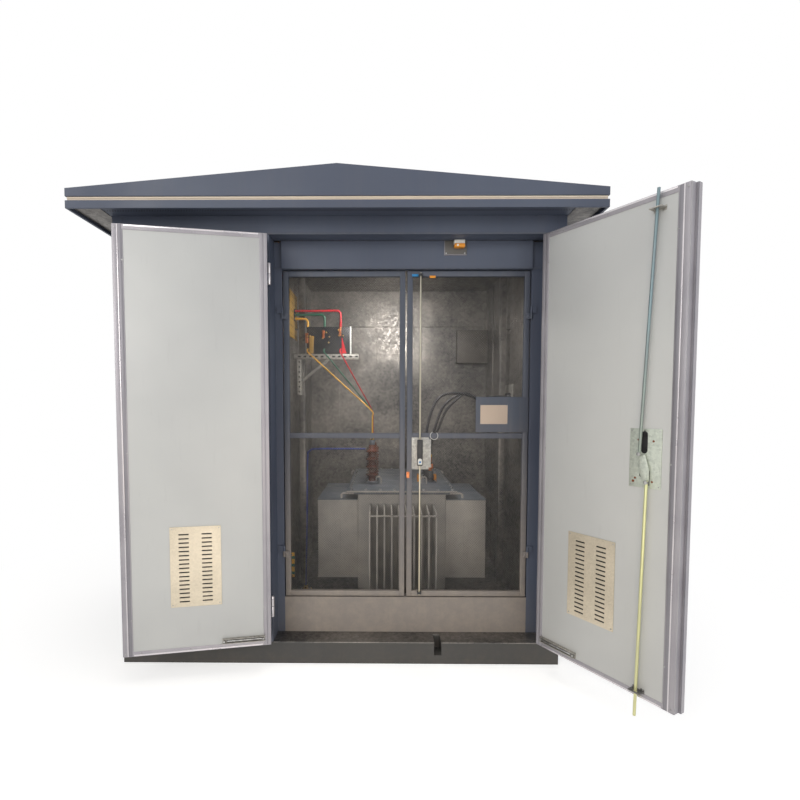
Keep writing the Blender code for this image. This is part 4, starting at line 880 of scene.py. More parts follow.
# %% [markdown]
# The door lock is a zinc plate with a turning cam. Its two ears pull the long
# rods that run to the top and bottom of the leaf, each through a small
# bracket. The plate keeps a slotted hole from its other uses, drawn as dark
# marks of painted shade, and has a few rusty fixing holes.

# %% Lock plate and rod guides
LOCK_X, LOCK_Z = -0.530, 1.062
PLATE_LOW, PLATE_HIGH = (-0.594, 0.9835), (-0.466, 1.2165)
rust = make_metal("rust", screen(146, 84, 52), screen(96, 54, 36), 0.1, 0.8, 0.004)
PLATE_FACE, SLOT_FACE, DISC_FACE = 0.0646, 0.0651, 0.0652


def mark_slot(left, right, bottom, top):
    """A slot in the lock plate as a dark block of painted shade, measured from the lock's axis."""
    low, high = (LOCK_X + left, PLATE_FACE, LOCK_Z + bottom), (LOCK_X + right, SLOT_FACE, LOCK_Z + top)
    add_block(lock, low, high, 0.0, 1, right_door)


def mark_disc(x, z, radius, face, finish=1, sides=24):
    """A hole as a dark disc of painted shade, and with finish 2 a rust spot, in the lock plate, measured from
    the lock's axis.
    """
    foot, tip = (LOCK_X + x, PLATE_FACE, LOCK_Z + z), (LOCK_X + x, face, LOCK_Z + z)
    add_bar(lock, foot, tip, radius, 0.0, finish, right_door, sides)


lock = bmesh.new()
low, high = (PLATE_LOW[0], 0.0608, PLATE_LOW[1]), (PLATE_HIGH[0], 0.0648, PLATE_HIGH[1])
add_block(lock, low, high, 0.0006, 0, right_door)
# The slots and the hole are dark marks of painted shade.
mark_slot(-0.009, 0.017, 0.070, 0.132)
for z in (0.070, 0.132):
    mark_disc(0.004, z, 0.013, SLOT_FACE)
mark_slot(-0.020, -0.020 + 0.0035, -0.068, -0.010)
mark_slot(0.002, 0.002 + 0.0035, 0.1375, 0.1500)
mark_disc(0.011, -0.028, 0.0105, DISC_FACE)
for x, z, radius in (
    (-0.032, 0.107, 0.0045), (0.029, 0.110, 0.0040), (0.047, -0.056, 0.0055),
    (0.039, -0.043, 0.0045), (-0.030, -0.052, 0.0042),
):
    mark_disc(x, z, radius, DISC_FACE, 2, 16)
for x in (PLATE_LOW[0] + 0.008, PLATE_HIGH[0] - 0.008):
    for z in (PLATE_LOW[1] + 0.009, PLATE_HIGH[1] - 0.009):
        add_screw(lock, x, z, 0.0647, 0.0026, 3, right_door)
keep("lock_base", lock, [plate_zinc, shadow, rust, steel], "right_door")


def add_guide(piece, x, z, place, finish):
    """A bent bracket that holds a lock rod: a shelf with a hole, and two feet."""
    for side in (-1, 1):
        low, high = across(side, 0.0095, 0.0245, x)
        add_block(piece, (low, 0.0608, z - 0.0025), (high, 0.0985, z + 0.0025), 0.0010, finish, place)
        add_block(piece, (low, 0.0612, z - 0.0095), (high, 0.0640, z + 0.0095), 0.0008, finish, place)
        add_screw(piece, x + side * 0.0170, z + 0.006, 0.0639, 0.0026, 1, place)
    for back, front in ((0.0910, 0.0985), (0.0608, 0.0735)):
        low, high = (x - 0.0100, back, z - 0.0025), (x + 0.0100, front, z + 0.0025)
        add_block(piece, low, high, 0.0010, finish, place)


guides = bmesh.new()
add_guide(guides, -0.5591, 2.048, right_door, 0)
add_guide(guides, -0.5293, 0.165, right_door, 2)
keep("rod_guides", guides, [bracket_zinc, steel, dark_wire], "right_door")

# %% Lock cam
cam = bmesh.new()
cam_outline = [
    (0.022, 0.052), (-0.0044, 0.052), (-0.022, 0.0), (-0.022, -0.052), (0.0044, -0.052), (0.022, 0.0),
]
points = [(LOCK_X + x, 0.0700, LOCK_Z + z) for x, z in cam_outline]
add_sheet(cam, points, (0, 0.0060, 0), 0.0018, 0, right_door)
boss = [(0.011, 0.0), (0.011, 0.004), (0.0105, 0.0045)]
add_turned(cam, boss, (LOCK_X, 0.0655, LOCK_Z), (0, 1, 0), 1, right_door)
for x, z in ((0.009, 0.043), (-0.009, -0.043)):
    foot, tip = (LOCK_X + x, 0.0675, LOCK_Z + z), (LOCK_X + x, 0.0702, LOCK_Z + z)
    add_bar(cam, foot, tip, 0.005, 0.0006, 1, right_door, 12)
keep("lock_cam_plate", cam, [plate_zinc, steel], "door_lock", ["lock_cam"])

# %% Lock rods
def add_rod(name, foot, tip, body, node, place, finish):
    """A lock rod with a chamfered tip, and the nut that pins its foot."""
    rod = bmesh.new()
    foot, tip = Vector(foot), Vector(tip)
    way = (tip - foot).normalized()
    add_bar(rod, foot, tip, 0.006, 0.0014, 0, place, 20)
    pin = foot + way * 0.007
    add_bar(rod, pin, pin + Vector((0, 0.0095, 0)), 0.0085, 0.0012, 1, place, 6)
    add_bar(rod, pin + Vector((0, 0.009, 0)), pin + Vector((0, 0.0125, 0)), 0.0042, 0.0008, 1, place, 16)
    keep(name, rod, [finish, steel], body, [node])


add_rod("upper_lock_rod", (-0.516, 0.0823, 1.110), (-0.5625, 0.0823, 2.122), "upper_door_bolt", "upper_bolt",
        right_door, rod_blue)
add_rod("lower_lock_rod", (-0.548, 0.0823, 1.015), (-0.527, 0.0823, 0.062), "lower_door_bolt", "lower_bolt",
        right_door, rod_zinc)

# %% [markdown]
# Each leaf has a stay along its foot: a slim channel that a rod slides in to
# hold the door open in wind. It is fixed by two screws on the bottom trim.

# %% Door stays
STAY_Z = 0.1730


def add_stay(label, side, place):
    stay = bmesh.new()
    near, far = across(side, 0.035, 0.235)
    add_block(stay, (near, 0.0628, 0.1600), (far, 0.0650, 0.1860), 0.0007, 0, place)
    for z_low, z_high in ((0.1820, 0.1850), (0.1610, 0.1640)):
        add_block(stay, (near, 0.0645, z_low), (far, 0.0760, z_high), 0.0008, 0, place)
    near, far = across(side, 0.050, 0.215)
    add_bar(stay, (near, 0.0705, STAY_Z), (far, 0.0705, STAY_Z), 0.0042, 0.0008, 1, place, 16)
    for x in (0.044, 0.226):
        add_bar(stay, (side * x, 0.0640, STAY_Z), (side * x, 0.0790, STAY_Z), 0.0055, 0.001, 1, place, 6)
    keep(f"{label}_door_stay", stay, [bracket_zinc, steel], f"{label}_door")


add_stay("left", 1, left_door)
add_stay("right", -1, right_door)

# %% [markdown]
# ## Mesh doors
# Behind the outer doors hang two inner doors of square tube with wire mesh,
# which let a worker look in while the live parts stay out of reach. The mesh
# is real geometry: straight strands laid across each light in two slanting
# directions, then trimmed to the light with bisect_plane. Strands are plain
# four-sided bars, because there are hundreds of them.

# %% Mesh door frames
STILE, LEAF_REACH = 0.0275, 0.62775
STRAND_PITCH, STRAND_SIZE = 0.0090, 0.0008


def add_strands(piece, low, high, y, finish):
    """Strands in two slanting directions across one light, trimmed to its edges."""
    width, tall = high[0] - low[0], high[1] - low[1]
    reach = width + tall
    part = bmesh.new()
    step = STRAND_PITCH / cos(pi / 4)
    for way in (-1, 1):
        for index in range(-1, int((tall + width) / step) + 2):
            made = bmesh.ops.create_cube(part, size=1.0)
            bmesh.ops.scale(part, vec=(2 * reach, STRAND_SIZE, STRAND_SIZE), verts=made["verts"])
            slant = Matrix.Rotation(-way * pi / 4, 3, "Y")
            bmesh.ops.rotate(part, verts=made["verts"], cent=(0, 0, 0), matrix=slant)
            rise = index * step - width / 2
            middle = (low[0] + width / 2, y + way * STRAND_SIZE * 0.45, low[1] + rise)
            bmesh.ops.translate(part, vec=middle, verts=made["verts"])
    for point, normal in (
        ((low[0], y, low[1]), (-1, 0, 0)),
        ((high[0], y, low[1]), (1, 0, 0)),
        ((low[0], y, low[1]), (0, 0, -1)),
        ((low[0], y, high[1]), (0, 0, 1)),
    ):
        bmesh.ops.bisect_plane(
            part, geom=part.verts[:] + part.edges[:] + part.faces[:], dist=1e-6,
            plane_co=point, plane_no=normal, clear_outer=True, clear_inner=False,
        )
    pour(part, piece, finish)


def make_mesh_door(label, hinge_side, node):
    """Frame, knuckles and mesh of one inner door."""
    body = f"{label}_mesh_leaf"
    place = left_mesh if label == "left" else right_mesh
    hinge_x, hinge_y = place.translation.x, place.translation.y
    left, right = across(hinge_side, 0.005, LEAF_REACH, hinge_x)
    front, back = hinge_y + 0.008, hinge_y + 0.033
    bottom, top = 0.3050, 1.9870
    mid_low, mid_high = 1.149 - STILE / 2, 1.149 + STILE / 2
    door = bmesh.new()
    for x in (left, right - STILE):
        add_block(door, (x, front, bottom), (x + STILE, back, top), 0.0022)
    for z in (bottom, mid_low, top - STILE):
        low = (left + STILE - 0.0005, front + 0.0002, z)
        add_block(door, low, (right - STILE + 0.0005, back, z + STILE), 0.0022)
    for height in (0.545, 1.775):
        foot = height - 0.0303
        add_bar(door, (hinge_x, hinge_y, foot), (hinge_x, hinge_y, foot + 0.030), 0.006, 0.0008)
        strap = across(hinge_side, 0.0025, 0.026, hinge_x)
        add_block(door, (strap[0], hinge_y - 0.002, foot), (strap[1], hinge_y + 0.010, foot + 0.030), 0.0008)
        knob = (hinge_x + hinge_side * 0.014, hinge_y - 0.002, height - 0.015)
        dome = [(0.0075, 0.0), (0.0075, 0.0015), (0.0060, 0.0035), (0.003, 0.0045)]
        add_turned(door, dome, knob, (0, -1, 0), sides=20)
    keep(f"{label}_mesh_frame", door, [frame_paint], body, [node])
    mesh = bmesh.new()
    for z_low, z_high in ((bottom + STILE, mid_low), (mid_high, top - STILE)):
        add_strands(mesh, (left + STILE, z_low), (right - STILE, z_high), back - 0.006, 0)
    keep(f"{label}_wire_mesh", mesh, [dark_wire], body)


make_mesh_door("left", 1, "left_mesh_door")
make_mesh_door("right", -1, "right_mesh_door")

# %% [markdown]
# The right leaf carries the latch: a zinc plate, a black handle whose lower
# end is a white push button with a blue dot, and two thin rods that run to
# guides at the top and bottom. Beside it is a dark plate for a chart, whose
# pale card is left bare.

# %% Latch, handle and rods
low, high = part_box("latch_plate")
latch = bmesh.new()
add_block(latch, low, high, 0.0006)
case_low = (low.x + 0.004, high.y, low.z + 0.010)
case_high = (high.x + 0.012, high.y + 0.0035, high.z - 0.010)
add_block(latch, case_low, case_high, 0.0008)
for x in (low.x + 0.010, high.x - 0.010):
    for z in (low.z + 0.010, high.z - 0.010):
        add_bar(latch, (x, low.y - 0.0016, z), (x, low.y + 0.0005, z), 0.0038, 0.0005, 1, None, 12)
keep("latch_base", latch, [bracket_zinc, steel], "right_mesh_leaf", ["latch_plate"])

low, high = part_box("mesh_door_handle")
middle_x = (low.x + high.x) / 2
handle = bmesh.new()
grip_low, grip_high = (low.x + 0.001, low.y + 0.0025, low.z), (high.x - 0.001, low.y + 0.0120, high.z)
add_block(handle, grip_low, grip_high, 0.003, steps=3)
pad_low = (low.x + 0.004, low.y + 0.0006, low.z + 0.045)
pad_high = (high.x - 0.004, low.y + 0.004, high.z - 0.004)
add_block(handle, pad_low, pad_high, 0.0015, steps=3)


def add_knob(front, back, rise, radius, edge, finish):
    """A disc on the handle's middle line, rise above its foot."""
    add_bar(handle, (middle_x, front, low.z + rise), (middle_x, back, low.z + rise), radius, edge, finish)


add_knob(low.y + 0.006, high.y, 0.067, 0.0118, 0.0008, 0)
add_knob(low.y, low.y + 0.004, 0.026, 0.0112, 0.0012, 1)
push_low = (middle_x - 0.0112, low.y, low.z + 0.006)
push_high = (middle_x + 0.0112, low.y + 0.004, low.z + 0.026)
add_block(handle, push_low, push_high, 0.0012, 1)
add_knob(low.y - 0.0006, low.y + 0.001, 0.019, 0.0052, 0.0004, 2)
blue_button = make_coat("blue_button", screen(40, 130, 190), screen(30, 110, 170), 0.3)
keep("mesh_handle_grip", handle, [black_board, white_plastic, blue_button], "mesh_handle",
     ["mesh_door_handle"])

for node, body in (("mesh_upper_bolt", "mesh_upper_rod"), ("mesh_lower_bolt", "mesh_lower_rod")):
    low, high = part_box(node)
    rod_x, rod_y = (low.x + high.x) / 2, (low.y + high.y) / 2
    rod = bmesh.new()
    add_bar(rod, (rod_x, rod_y, low.z), (rod_x, rod_y, high.z), 0.0045, 0.0010, 0, None, 16)
    add_bar(rod, (rod_x, rod_y, low.z + 0.004), (rod_x, rod_y, low.z + 0.009), 0.0047, 0.0006, 1, None, 16)
    keep(f"{body}_bar", rod, [rod_pale, steel], body, [node])

# %% Rod guides, chart plate and small fittings of the mesh doors
fittings = bmesh.new()
GUIDE_HEIGHTS = (0.327, 1.965)
for z in GUIDE_HEIGHTS:
    for side in (-1, 1):
        near, far = across(side, 0.0068, 0.0108, rod_x)
        add_block(fittings, (near, rod_y - 0.010, z - 0.006), (far, -0.7085, z + 0.006), 0.0008)
    low, high = (rod_x - 0.0108, rod_y - 0.0108, z - 0.006), (rod_x + 0.0108, rod_y - 0.0068, z + 0.006)
    add_block(fittings, low, high, 0.001)
add_block(fittings, (rod_x - 0.044, -0.7165, 1.958), (rod_x - 0.012, -0.7095, 1.970), 0.0008, 1)
add_block(fittings, (rod_x + 0.045, -0.7135, 1.951), (rod_x + 0.075, -0.7095, 1.963), 0.0008, 2)
colours = [black_board, blue_button, orange_plastic]
keep("mesh_rod_guides", fittings, colours, "right_mesh_leaf")

low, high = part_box("name_panel")
chart = bmesh.new()
add_block(chart, low, high, 0.0007)
keep("chart_plate", chart, [frame_paint], "right_mesh_leaf", ["name_panel"])
card = bmesh.new()
add_block(card, (0.715, low.y - 0.0008, 1.2105), (0.854, low.y + 0.0004, 1.308), 0.0003)
for x in (0.7185, 0.8505):
    for z in (1.214, 1.3045):
        add_bar(card, (x, low.y - 0.0016, z), (x, low.y, z), 0.0022, 0.0004, 1, None, 10)
keep("bare_card", card, [card_pale, steel], "right_mesh_leaf")

tie = bmesh.new()
add_loop(tie, (0.478, -0.7125, 1.150), (0.15, 1.0, 0.1), 0.020, 0.0013, 0, radians(300), radians(-60))
keep("white_wire_loop", tie, [white_plastic], "right_mesh_leaf")

hasp = bmesh.new()
add_block(hasp, (0.3365, -0.7135, 0.930), (0.3520, -0.7100, 0.962), 0.001)
add_loop(hasp, (0.3440, -0.7155, 0.950), (1.0, 0.0, 0.0), 0.006, 0.0012)
keep("copper_hasp", hasp, [copper], "right_mesh_leaf")

# %% [markdown]
# ## Transformer
# The transformer is an oil tank on skids. Oil rises in the middle and sinks
# in the thin hollow fins around it, which are pressed from sheet. The fins
# that face the doors are embossed with a long bead, so that the two skins
# keep their distance. The lid is bolted all round.

# %% Tank and fins
tank_low, tank_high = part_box("transformer_tank")
lid_low, lid_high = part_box("transformer_lid")
tank = bmesh.new()
body_bottom = 0.215
add_block(tank, (tank_low.x, tank_low.y, body_bottom), tank_high, 0.006, steps=3)
middle = (tank_low.x + tank_high.x) / 2
for side in (-1, 1):
    centre = middle + side * 0.2
    for a, b, foot, head in ((-0.030, 0.030, tank_low.z, tank_low.z + 0.008),
                             (-0.030, -0.024, tank_low.z, body_bottom + 0.004),
                             (0.024, 0.030, tank_low.z, body_bottom + 0.004),
                             (-0.030, 0.030, body_bottom - 0.006, body_bottom + 0.002)):
        add_block(tank, (centre + a, tank_low.y, foot), (centre + b, tank_high.y, head), 0.001)
# The band under the lid has the darker grey: painted shade under the lid's edge.
add_block(tank, (tank_low.x - 0.020, tank_low.y - 0.018, tank_high.z - 0.013),
          (tank_high.x + 0.020, tank_high.y + 0.018, tank_high.z), 0.002, 1)
keep("oil_tank", tank, [tank_paint, tank_paint_shade_and_reflection], "housing", ["transformer_tank"])


FRONT_FINS, FRONT_PITCH, SIDE_FINS, SIDE_PITCH, FIN_THICK = 10, 0.041, 14, 0.045, 0.009


def add_front_bank(name, node, way):
    """Fins that point to the front or the rear, their tops sloping up to the tank."""
    low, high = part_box(node)
    bank = bmesh.new()
    span = (FRONT_FINS - 1) * FRONT_PITCH + FIN_THICK
    start = (low.x + high.x) / 2 - span / 2
    outer, inner = (low.y, high.y) if way < 0 else (high.y, low.y)
    for index in range(FRONT_FINS):
        x = start + index * FRONT_PITCH
        outline = [(x, outer, low.z), (x, outer, high.z - 0.022), (x, inner, high.z), (x, inner, low.z)]
        add_sheet(bank, outline, (FIN_THICK, 0, 0), 0.0026)
    web = sorted((inner, inner + way * 0.004))
    add_block(bank, (low.x, web[0], low.z), (high.x, web[1], high.z), 0.001)
    edge = sorted((outer, outer - way * 0.008))
    add_block(bank, (low.x, edge[0], high.z - 0.036), (high.x, edge[1], high.z - 0.027), 0.0015)
    add_block(bank, (low.x, edge[0], low.z), (high.x, edge[1], low.z + 0.009), 0.0015)
    keep(name, bank, [tank_paint], "housing", [node])


add_front_bank("front_cooling_fins", "front_fins", -1)
add_front_bank("rear_cooling_fins", "rear_fins", 1)


def add_bead(piece, centre_x, y, low_z, high_z, half_width, out):
    """The pressed bead on the face of a fin: a rounded rim that stands out a little."""
    for side in (-1, 1):
        low, high = across(side, half_width, half_width - 0.003, centre_x)
        add_block(piece, (low, y - out, low_z + half_width), (high, y + 0.001, high_z - half_width), 0.001)
    ring = half_width - 0.0015
    add_loop(piece, (centre_x, y, high_z - half_width), (0, -1, 0), ring, 0.0024, 0, pi)
    add_loop(piece, (centre_x, y, low_z + half_width), (0, -1, 0), ring, 0.0028, 0, pi, pi)


def add_side_bank(name, node):
    """Fins that point sideways, closed by a plate above and below."""
    low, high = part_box(node)
    bank = bmesh.new()
    for index in range(SIDE_FINS):
        y = low.y + index * SIDE_PITCH
        add_block(bank, (low.x, y, low.z), (high.x, y + FIN_THICK, high.z - 0.004), 0.003, steps=3)
    inner = (high.x - 0.004, high.x) if low.x < 0 else (low.x, low.x + 0.004)
    add_block(bank, (inner[0], low.y, low.z), (inner[1], high.y, high.z), 0.001)
    outer = (low.x - 0.003, high.x) if low.x < 0 else (low.x, high.x + 0.003)
    # The top plate has the darker grey, painted shade and dark reflection; the bottom plate has the plain
    # grey.
    for z, finish in ((high.z - 0.005, 1), (low.z, 0)):
        add_block(bank, (outer[0], low.y - 0.003, z), (outer[1], high.y + 0.003, z + 0.005), 0.0015, finish)
    centre_x = (low.x + high.x) / 2
    add_bead(bank, centre_x, low.y, 0.414, 0.630, 0.015, 0.0024)
    keep(name, bank, [tank_paint, tank_paint_shade_and_reflection], "housing", [node])


add_side_bank("left_cooling_fins", "left_fins")
add_side_bank("right_cooling_fins", "right_fins")

# %% Lid with its bolts and lugs
def add_bolt(piece, x, y, z, size=0.008, finish=1):
    """A hexagon bolt head on a washer, on a level face."""
    add_bar(piece, (x, y, z), (x, y, z + 0.0015), size * 1.35, 0.0004, finish, None, 16)
    add_bar(piece, (x, y, z + 0.0015), (x, y, z + 0.0075), size, 0.001, finish, None, 6)


LUG_OUTLINE = ((0.045, 0.797), (-0.022, 0.797), (-0.034, 0.787), (-0.034, 0.765), (-0.022, 0.765),
               (-0.022, 0.781), (-0.016, 0.787), (0.045, 0.787))
lid = bmesh.new()
# The lid has the darker grey: painted dark reflection of the room on its top.
add_block(lid, lid_low, lid_high, 0.002, 0)
top = lid_high.z
add_block(lid, (lid_low.x + 0.003, lid_low.y - 0.0006, lid_low.z + 0.002),
          (lid_high.x - 0.003, lid_low.y + 0.001, top - 0.001), 0.0004, 2)
count = round((lid_high.x - lid_low.x - 0.06) / 0.081)
for index in range(count + 1):
    x = lid_low.x + 0.030 + index * (lid_high.x - lid_low.x - 0.060) / count
    add_bolt(lid, x, lid_low.y + 0.020, top)
    add_bolt(lid, x, lid_high.y - 0.020, top)
for index in range(1, 12):
    y = lid_low.y + 0.020 + index * (lid_high.y - lid_low.y - 0.040) / 12
    add_bolt(lid, lid_low.x + 0.020, y, top)
    add_bolt(lid, lid_high.x - 0.020, y, top)
for side in (-1, 1):
    edge_x = lid_low.x if side < 0 else lid_high.x
    for y in (lid_low.y + 0.012, lid_high.y - 0.020):
        hook = [(edge_x - side * x, y, z) for x, z in LUG_OUTLINE]
        add_sheet(lid, hook, (0, 0.008, 0), 0.0012, 2)
for x in (0.186, 0.473):
    for foot in (x - 0.018, x + 0.018):
        add_bar(lid, (foot, -0.144, top), (foot, -0.144, top + 0.027), 0.0045, 0.0, 2, None, 14)
    add_loop(lid, (x, -0.144, top + 0.027), (0, -1, 0), 0.018, 0.0045, 2, pi)
keep("tank_lid", lid, [tank_paint_shade_and_reflection, steel, tank_paint], "housing", ["transformer_lid"])

# %% [markdown]
# The high-voltage bushings are turned porcelain. Their skirts make the path
# along the wet surface longer, so each skirt has a rounded lip and a flat
# underside. One profile is spun for all three.

# %% High-voltage bushings
def bushing_profile():
    profile = [(0.0415, 0.0), (0.0420, 0.004), (0.0420, 0.015), (0.0380, 0.019), (0.027, 0.022)]
    for shed in range(4):
        low = 0.0427 + shed * 0.0488
        profile += [
            (0.0245, low - 0.008), (0.0260, low), (0.0330, low + 0.0075), (0.0405, low + 0.0135),
            (0.0420, low + 0.0165), (0.0415, low + 0.0195), (0.0380, low + 0.0215),
            (0.0290, low + 0.0265), (0.0245, low + 0.0325),
        ]
    return profile + [(0.0215, 0.2400), (0.0205, 0.2435), (0.0190, 0.2460)]


FLANGE = ((0.0415, 0.0), (0.0425, 0.002), (0.0425, 0.016), (0.0400, 0.019))
for index, (_, y, _) in enumerate(PHASES.values()):
    low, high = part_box(f"hv_bushing_{index + 1}")
    x, foot = BUSHING_X, low.z
    bushing = bmesh.new()
    add_turned(bushing, bushing_profile(), (x, y, foot), finish=0, sides=40)
    # The flange has the darker grey: painted shade at the bushing's foot.
    add_turned(bushing, FLANGE, (x, y, foot), finish=1)
    for corner in range(4):
        angle = radians(45 + 90 * corner)
        spot = (x + 0.034 * cos(angle), y + 0.034 * sin(angle))
        add_bar(bushing, (*spot, foot + 0.014), (*spot, foot + 0.026), 0.006, 0.001, 2, None, 6)
    add_turned(bushing, [(0.0150, 0.244), (0.0164, 0.248), (0.0164, 0.270), (0.0125, 0.276), (0.0104, 0.2775),
                         (0.0104, 0.3035), (0.0092, 0.305)], (x, y, foot), finish=1)
    add_bar(bushing, (x, y, foot + 0.278), (x, y, foot + 0.287), 0.0150, 0.001, 3, None, 6)
    keep(f"porcelain_bushing_{index + 1}", bushing, [porcelain, tank_paint_shade_and_reflection, steel, brass],
         "housing", [f"hv_bushing_{index + 1}"])

# %% [markdown]
# The four low-voltage bushings are short, with black boots and copper flags.
# Three carry the black cables, each with a lug and a narrow shrink sleeve in
# its phase colour. Two small orange posts stand beside them on the lid.

# %% Low-voltage bushings and lugs
low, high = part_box("lv_bushings")
lv = bmesh.new()
# The base plate has the darker grey, as painted shade.
add_block(lv, low, (high.x, high.y, low.z + 0.006), 0.001, 2)
for y in LV_ROW:
    foot = low.z + 0.006
    boot = [(0.0290, -0.001), (0.0290, 0.006), (0.0225, 0.010), (0.0215, 0.020), (0.0240, 0.024),
            (0.0240, 0.034), (0.0205, 0.040), (0.0195, 0.056), (0.0170, 0.062), (0.0150, 0.068)]
    add_turned(lv, boot, (LV_X, y, foot), finish=0)
    add_turned(lv, [(0.0075, 0.060), (0.0075, 0.1125), (0.0066, 0.1138)], (LV_X, y, foot), finish=1)
    add_bar(lv, (LV_X, y, foot + 0.070), (LV_X, y, foot + 0.078), 0.0140, 0.001, 1, None, 6)
    add_block(lv, (0.502, y - 0.0035, foot + 0.080), (0.538, y + 0.0035, foot + 0.1138), 0.0010, 1)
    add_bar(lv, (LV_X, y - 0.010, foot + 0.098), (LV_X, y + 0.010, foot + 0.098), 0.0075, 0.001, 3, None, 6)
    for side in (-1, 1):
        spot = LV_X + side * 0.031
        add_bar(lv, (spot, y, low.z + 0.006), (spot, y, low.z + 0.012), 0.0055, 0.0008, 3, None, 6)
post = [
    (0.0120, 0.0), (0.0120, 0.018), (0.0135, 0.022), (0.0120, 0.027), (0.0120, 0.044), (0.0095, 0.050),
]
for x in (0.450, 0.552):
    add_turned(lv, post, (x, -0.050, lid_high.z + 0.0003), finish=4)
    add_bar(lv, (x, -0.050, lid_high.z + 0.050), (x, -0.050, lid_high.z + 0.066), 0.0055, 0.001, 3, None, 12)
keep("low_voltage_bushings", lv, [black_rubber, copper, tank_paint_shade_and_reflection, steel, orange_plastic],
     "housing", ["lv_bushings"])

lugs = bmesh.new()
for index, stations in enumerate(cable_routes):
    x, y, z = stations[0]
    add_turned(lugs, [(0.0098, 0.0), (0.0112, 0.003), (0.0112, 0.040), (0.0098, 0.043)], (x, y, z), finish=0)
    add_turned(lugs, [(0.0100, 0.044), (0.0108, 0.046), (0.0108, 0.058), (0.0100, 0.060)], (x, y, z),
               finish=1 + index)
keep("cable_lugs", lugs, [copper, yellow_sleeve, green_sleeve, red_sleeve], "housing")

# %% Gland plate
low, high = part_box("gland_plate")
gland = bmesh.new()
add_block(gland, low, high, 0.0008, 0)
cone = [(0.0265, 0.0), (0.0265, 0.008), (0.0235, 0.010), (0.0200, 0.022), (0.0150, 0.026)]
for y in GLAND_ROW:
    add_turned(gland, cone, (low.x + 0.0002, y, GLAND_Z), (-1, 0, 0), 1)
for y in (low.y + 0.012, high.y - 0.012):
    for z in (low.z + 0.012, high.z - 0.012):
        add_bar(gland, (low.x - 0.004, y, z), (low.x + 0.001, y, z), 0.006, 0.001, 2, None, 6)
colours = [bracket_zinc, black_rubber, steel]
keep("cable_gland_plate", gland, colours, "housing", ["gland_plate"])

# %% [markdown]
# ## High-voltage bracket
# A slotted zinc channel on the partition carries the black terminal board.
# The bars come down on to copper clamps on the board, and the conductors
# leave below them. The upright under the channel is punched with a row of
# holes, and a slanting brace stiffens it.

# %% Bracket and terminal board
low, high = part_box("hv_bracket")
bracket = bmesh.new()
rail_low = high.z - 0.034
add_block(bracket, (low.x, low.y, rail_low), (high.x, low.y + 0.003, high.z), 0.0008)
add_block(bracket, (low.x, low.y, high.z - 0.003), (high.x, high.y, high.z), 0.0008)
add_block(bracket, (low.x, low.y, rail_low), (high.x, low.y + 0.012, rail_low + 0.003), 0.0008)
add_block(bracket, (low.x, high.y - 0.003, rail_low), (high.x, high.y, high.z), 0.0008)
add_block(bracket, (low.x, low.y, rail_low - 0.012), (low.x + 0.006, high.y, high.z), 0.001)
# The slots are dark blocks of painted shade.
for index in range(11):
    x = low.x + 0.030 + index * 0.037
    slot_low, slot_high = (x, low.y - 0.0003, rail_low + 0.012), (x + 0.018, low.y + 0.0005, rail_low + 0.022)
    add_block(bracket, slot_low, slot_high, 0.0002, 1)
post_left = low.x + 0.0237
add_block(bracket, (post_left, low.y, low.z), (post_left + 0.032, low.y + 0.003, rail_low + 0.002), 0.0008)
add_block(bracket, (post_left, low.y, low.z), (post_left + 0.003, high.y, rail_low + 0.002), 0.0008)
add_block(bracket, (post_left + 0.029, low.y, low.z), (post_left + 0.032, high.y, rail_low + 0.002), 0.0008)
# The punched holes are dark discs of painted shade.
for index in range(7):
    z = low.z + 0.020 + index * 0.032
    foot, tip = (post_left + 0.016, low.y - 0.0003, z), (post_left + 0.016, low.y + 0.0005, z)
    add_bar(bracket, foot, tip, 0.0055, 0.0, 1, None, 16)
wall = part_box("partition")[1].x
brace = [
    (wall + 0.048, low.y + 0.005, high.z - 0.192), (wall + 0.262, low.y + 0.005, high.z - 0.016),
    (wall + 0.240, low.y + 0.005, high.z - 0.016), (wall + 0.048, low.y + 0.005, high.z - 0.170),
]
add_sheet(bracket, brace, (0, 0.004, 0), 0.0006)
add_sheet(bracket, [(x, y + 0.004, z) for x, y, z in brace], (0, 0.022, 0), 0.0)
for x, z in ((wall + 0.060, high.z - 0.168), (wall + 0.235, high.z - 0.026)):
    add_bar(bracket, (x, low.y - 0.005, z), (x, low.y + 0.006, z), 0.007, 0.001, 2, None, 6)
keep("slotted_bracket", bracket, [bracket_zinc, shadow, steel], "housing", ["hv_bracket"])

board = bmesh.new()
add_block(board, board_low, board_high, 0.0015, 0)
face = board_low.y
CLAMPS = (
    ((-0.2874, -0.2681), (1.707, 1.771), ((-0.2900, 1.749), (-0.2558, 1.752))),
    (
        (-0.1792, -0.1637), (1.739, 1.790),
        ((-0.1515, 1.773), (-0.1759, 1.737), (-0.1315, 1.746), (-0.1360, 1.709)),
    ),
    ((-0.0710, -0.0556), (1.7517, 1.8155), ((-0.0742, 1.789), (-0.0723, 1.7535), (-0.0433, 1.7535))),
)
for (left, right), (bottom, top), nuts in CLAMPS:
    bottom, top = max(bottom, board_low.z + 0.002), min(top, board_high.z - 0.0005)
    add_block(board, (left, face - 0.0050, bottom), (right, face + 0.0010, top), 0.001, 1)
    for x, z in nuts:
        x, z = max(x, board_low.x + 0.0062), min(max(z, board_low.z + 0.0062), board_high.z - 0.0062)
        add_bar(board, (x, face - 0.0120, z), (x, face + 0.0005, z), 0.0052, 0.0008, 2, None, 6)
        add_bar(board, (x, face - 0.0160, z), (x, face - 0.0115, z), 0.0030, 0.0006, 2, None, 12)
FLAG_LOW, FLAG_HIGH = board_low.z + 0.004, 1.7517
ochre = [(-0.2616, FLAG_LOW), (-0.2363, FLAG_LOW), (-0.2313, FLAG_HIGH), (-0.2616, FLAG_HIGH)]
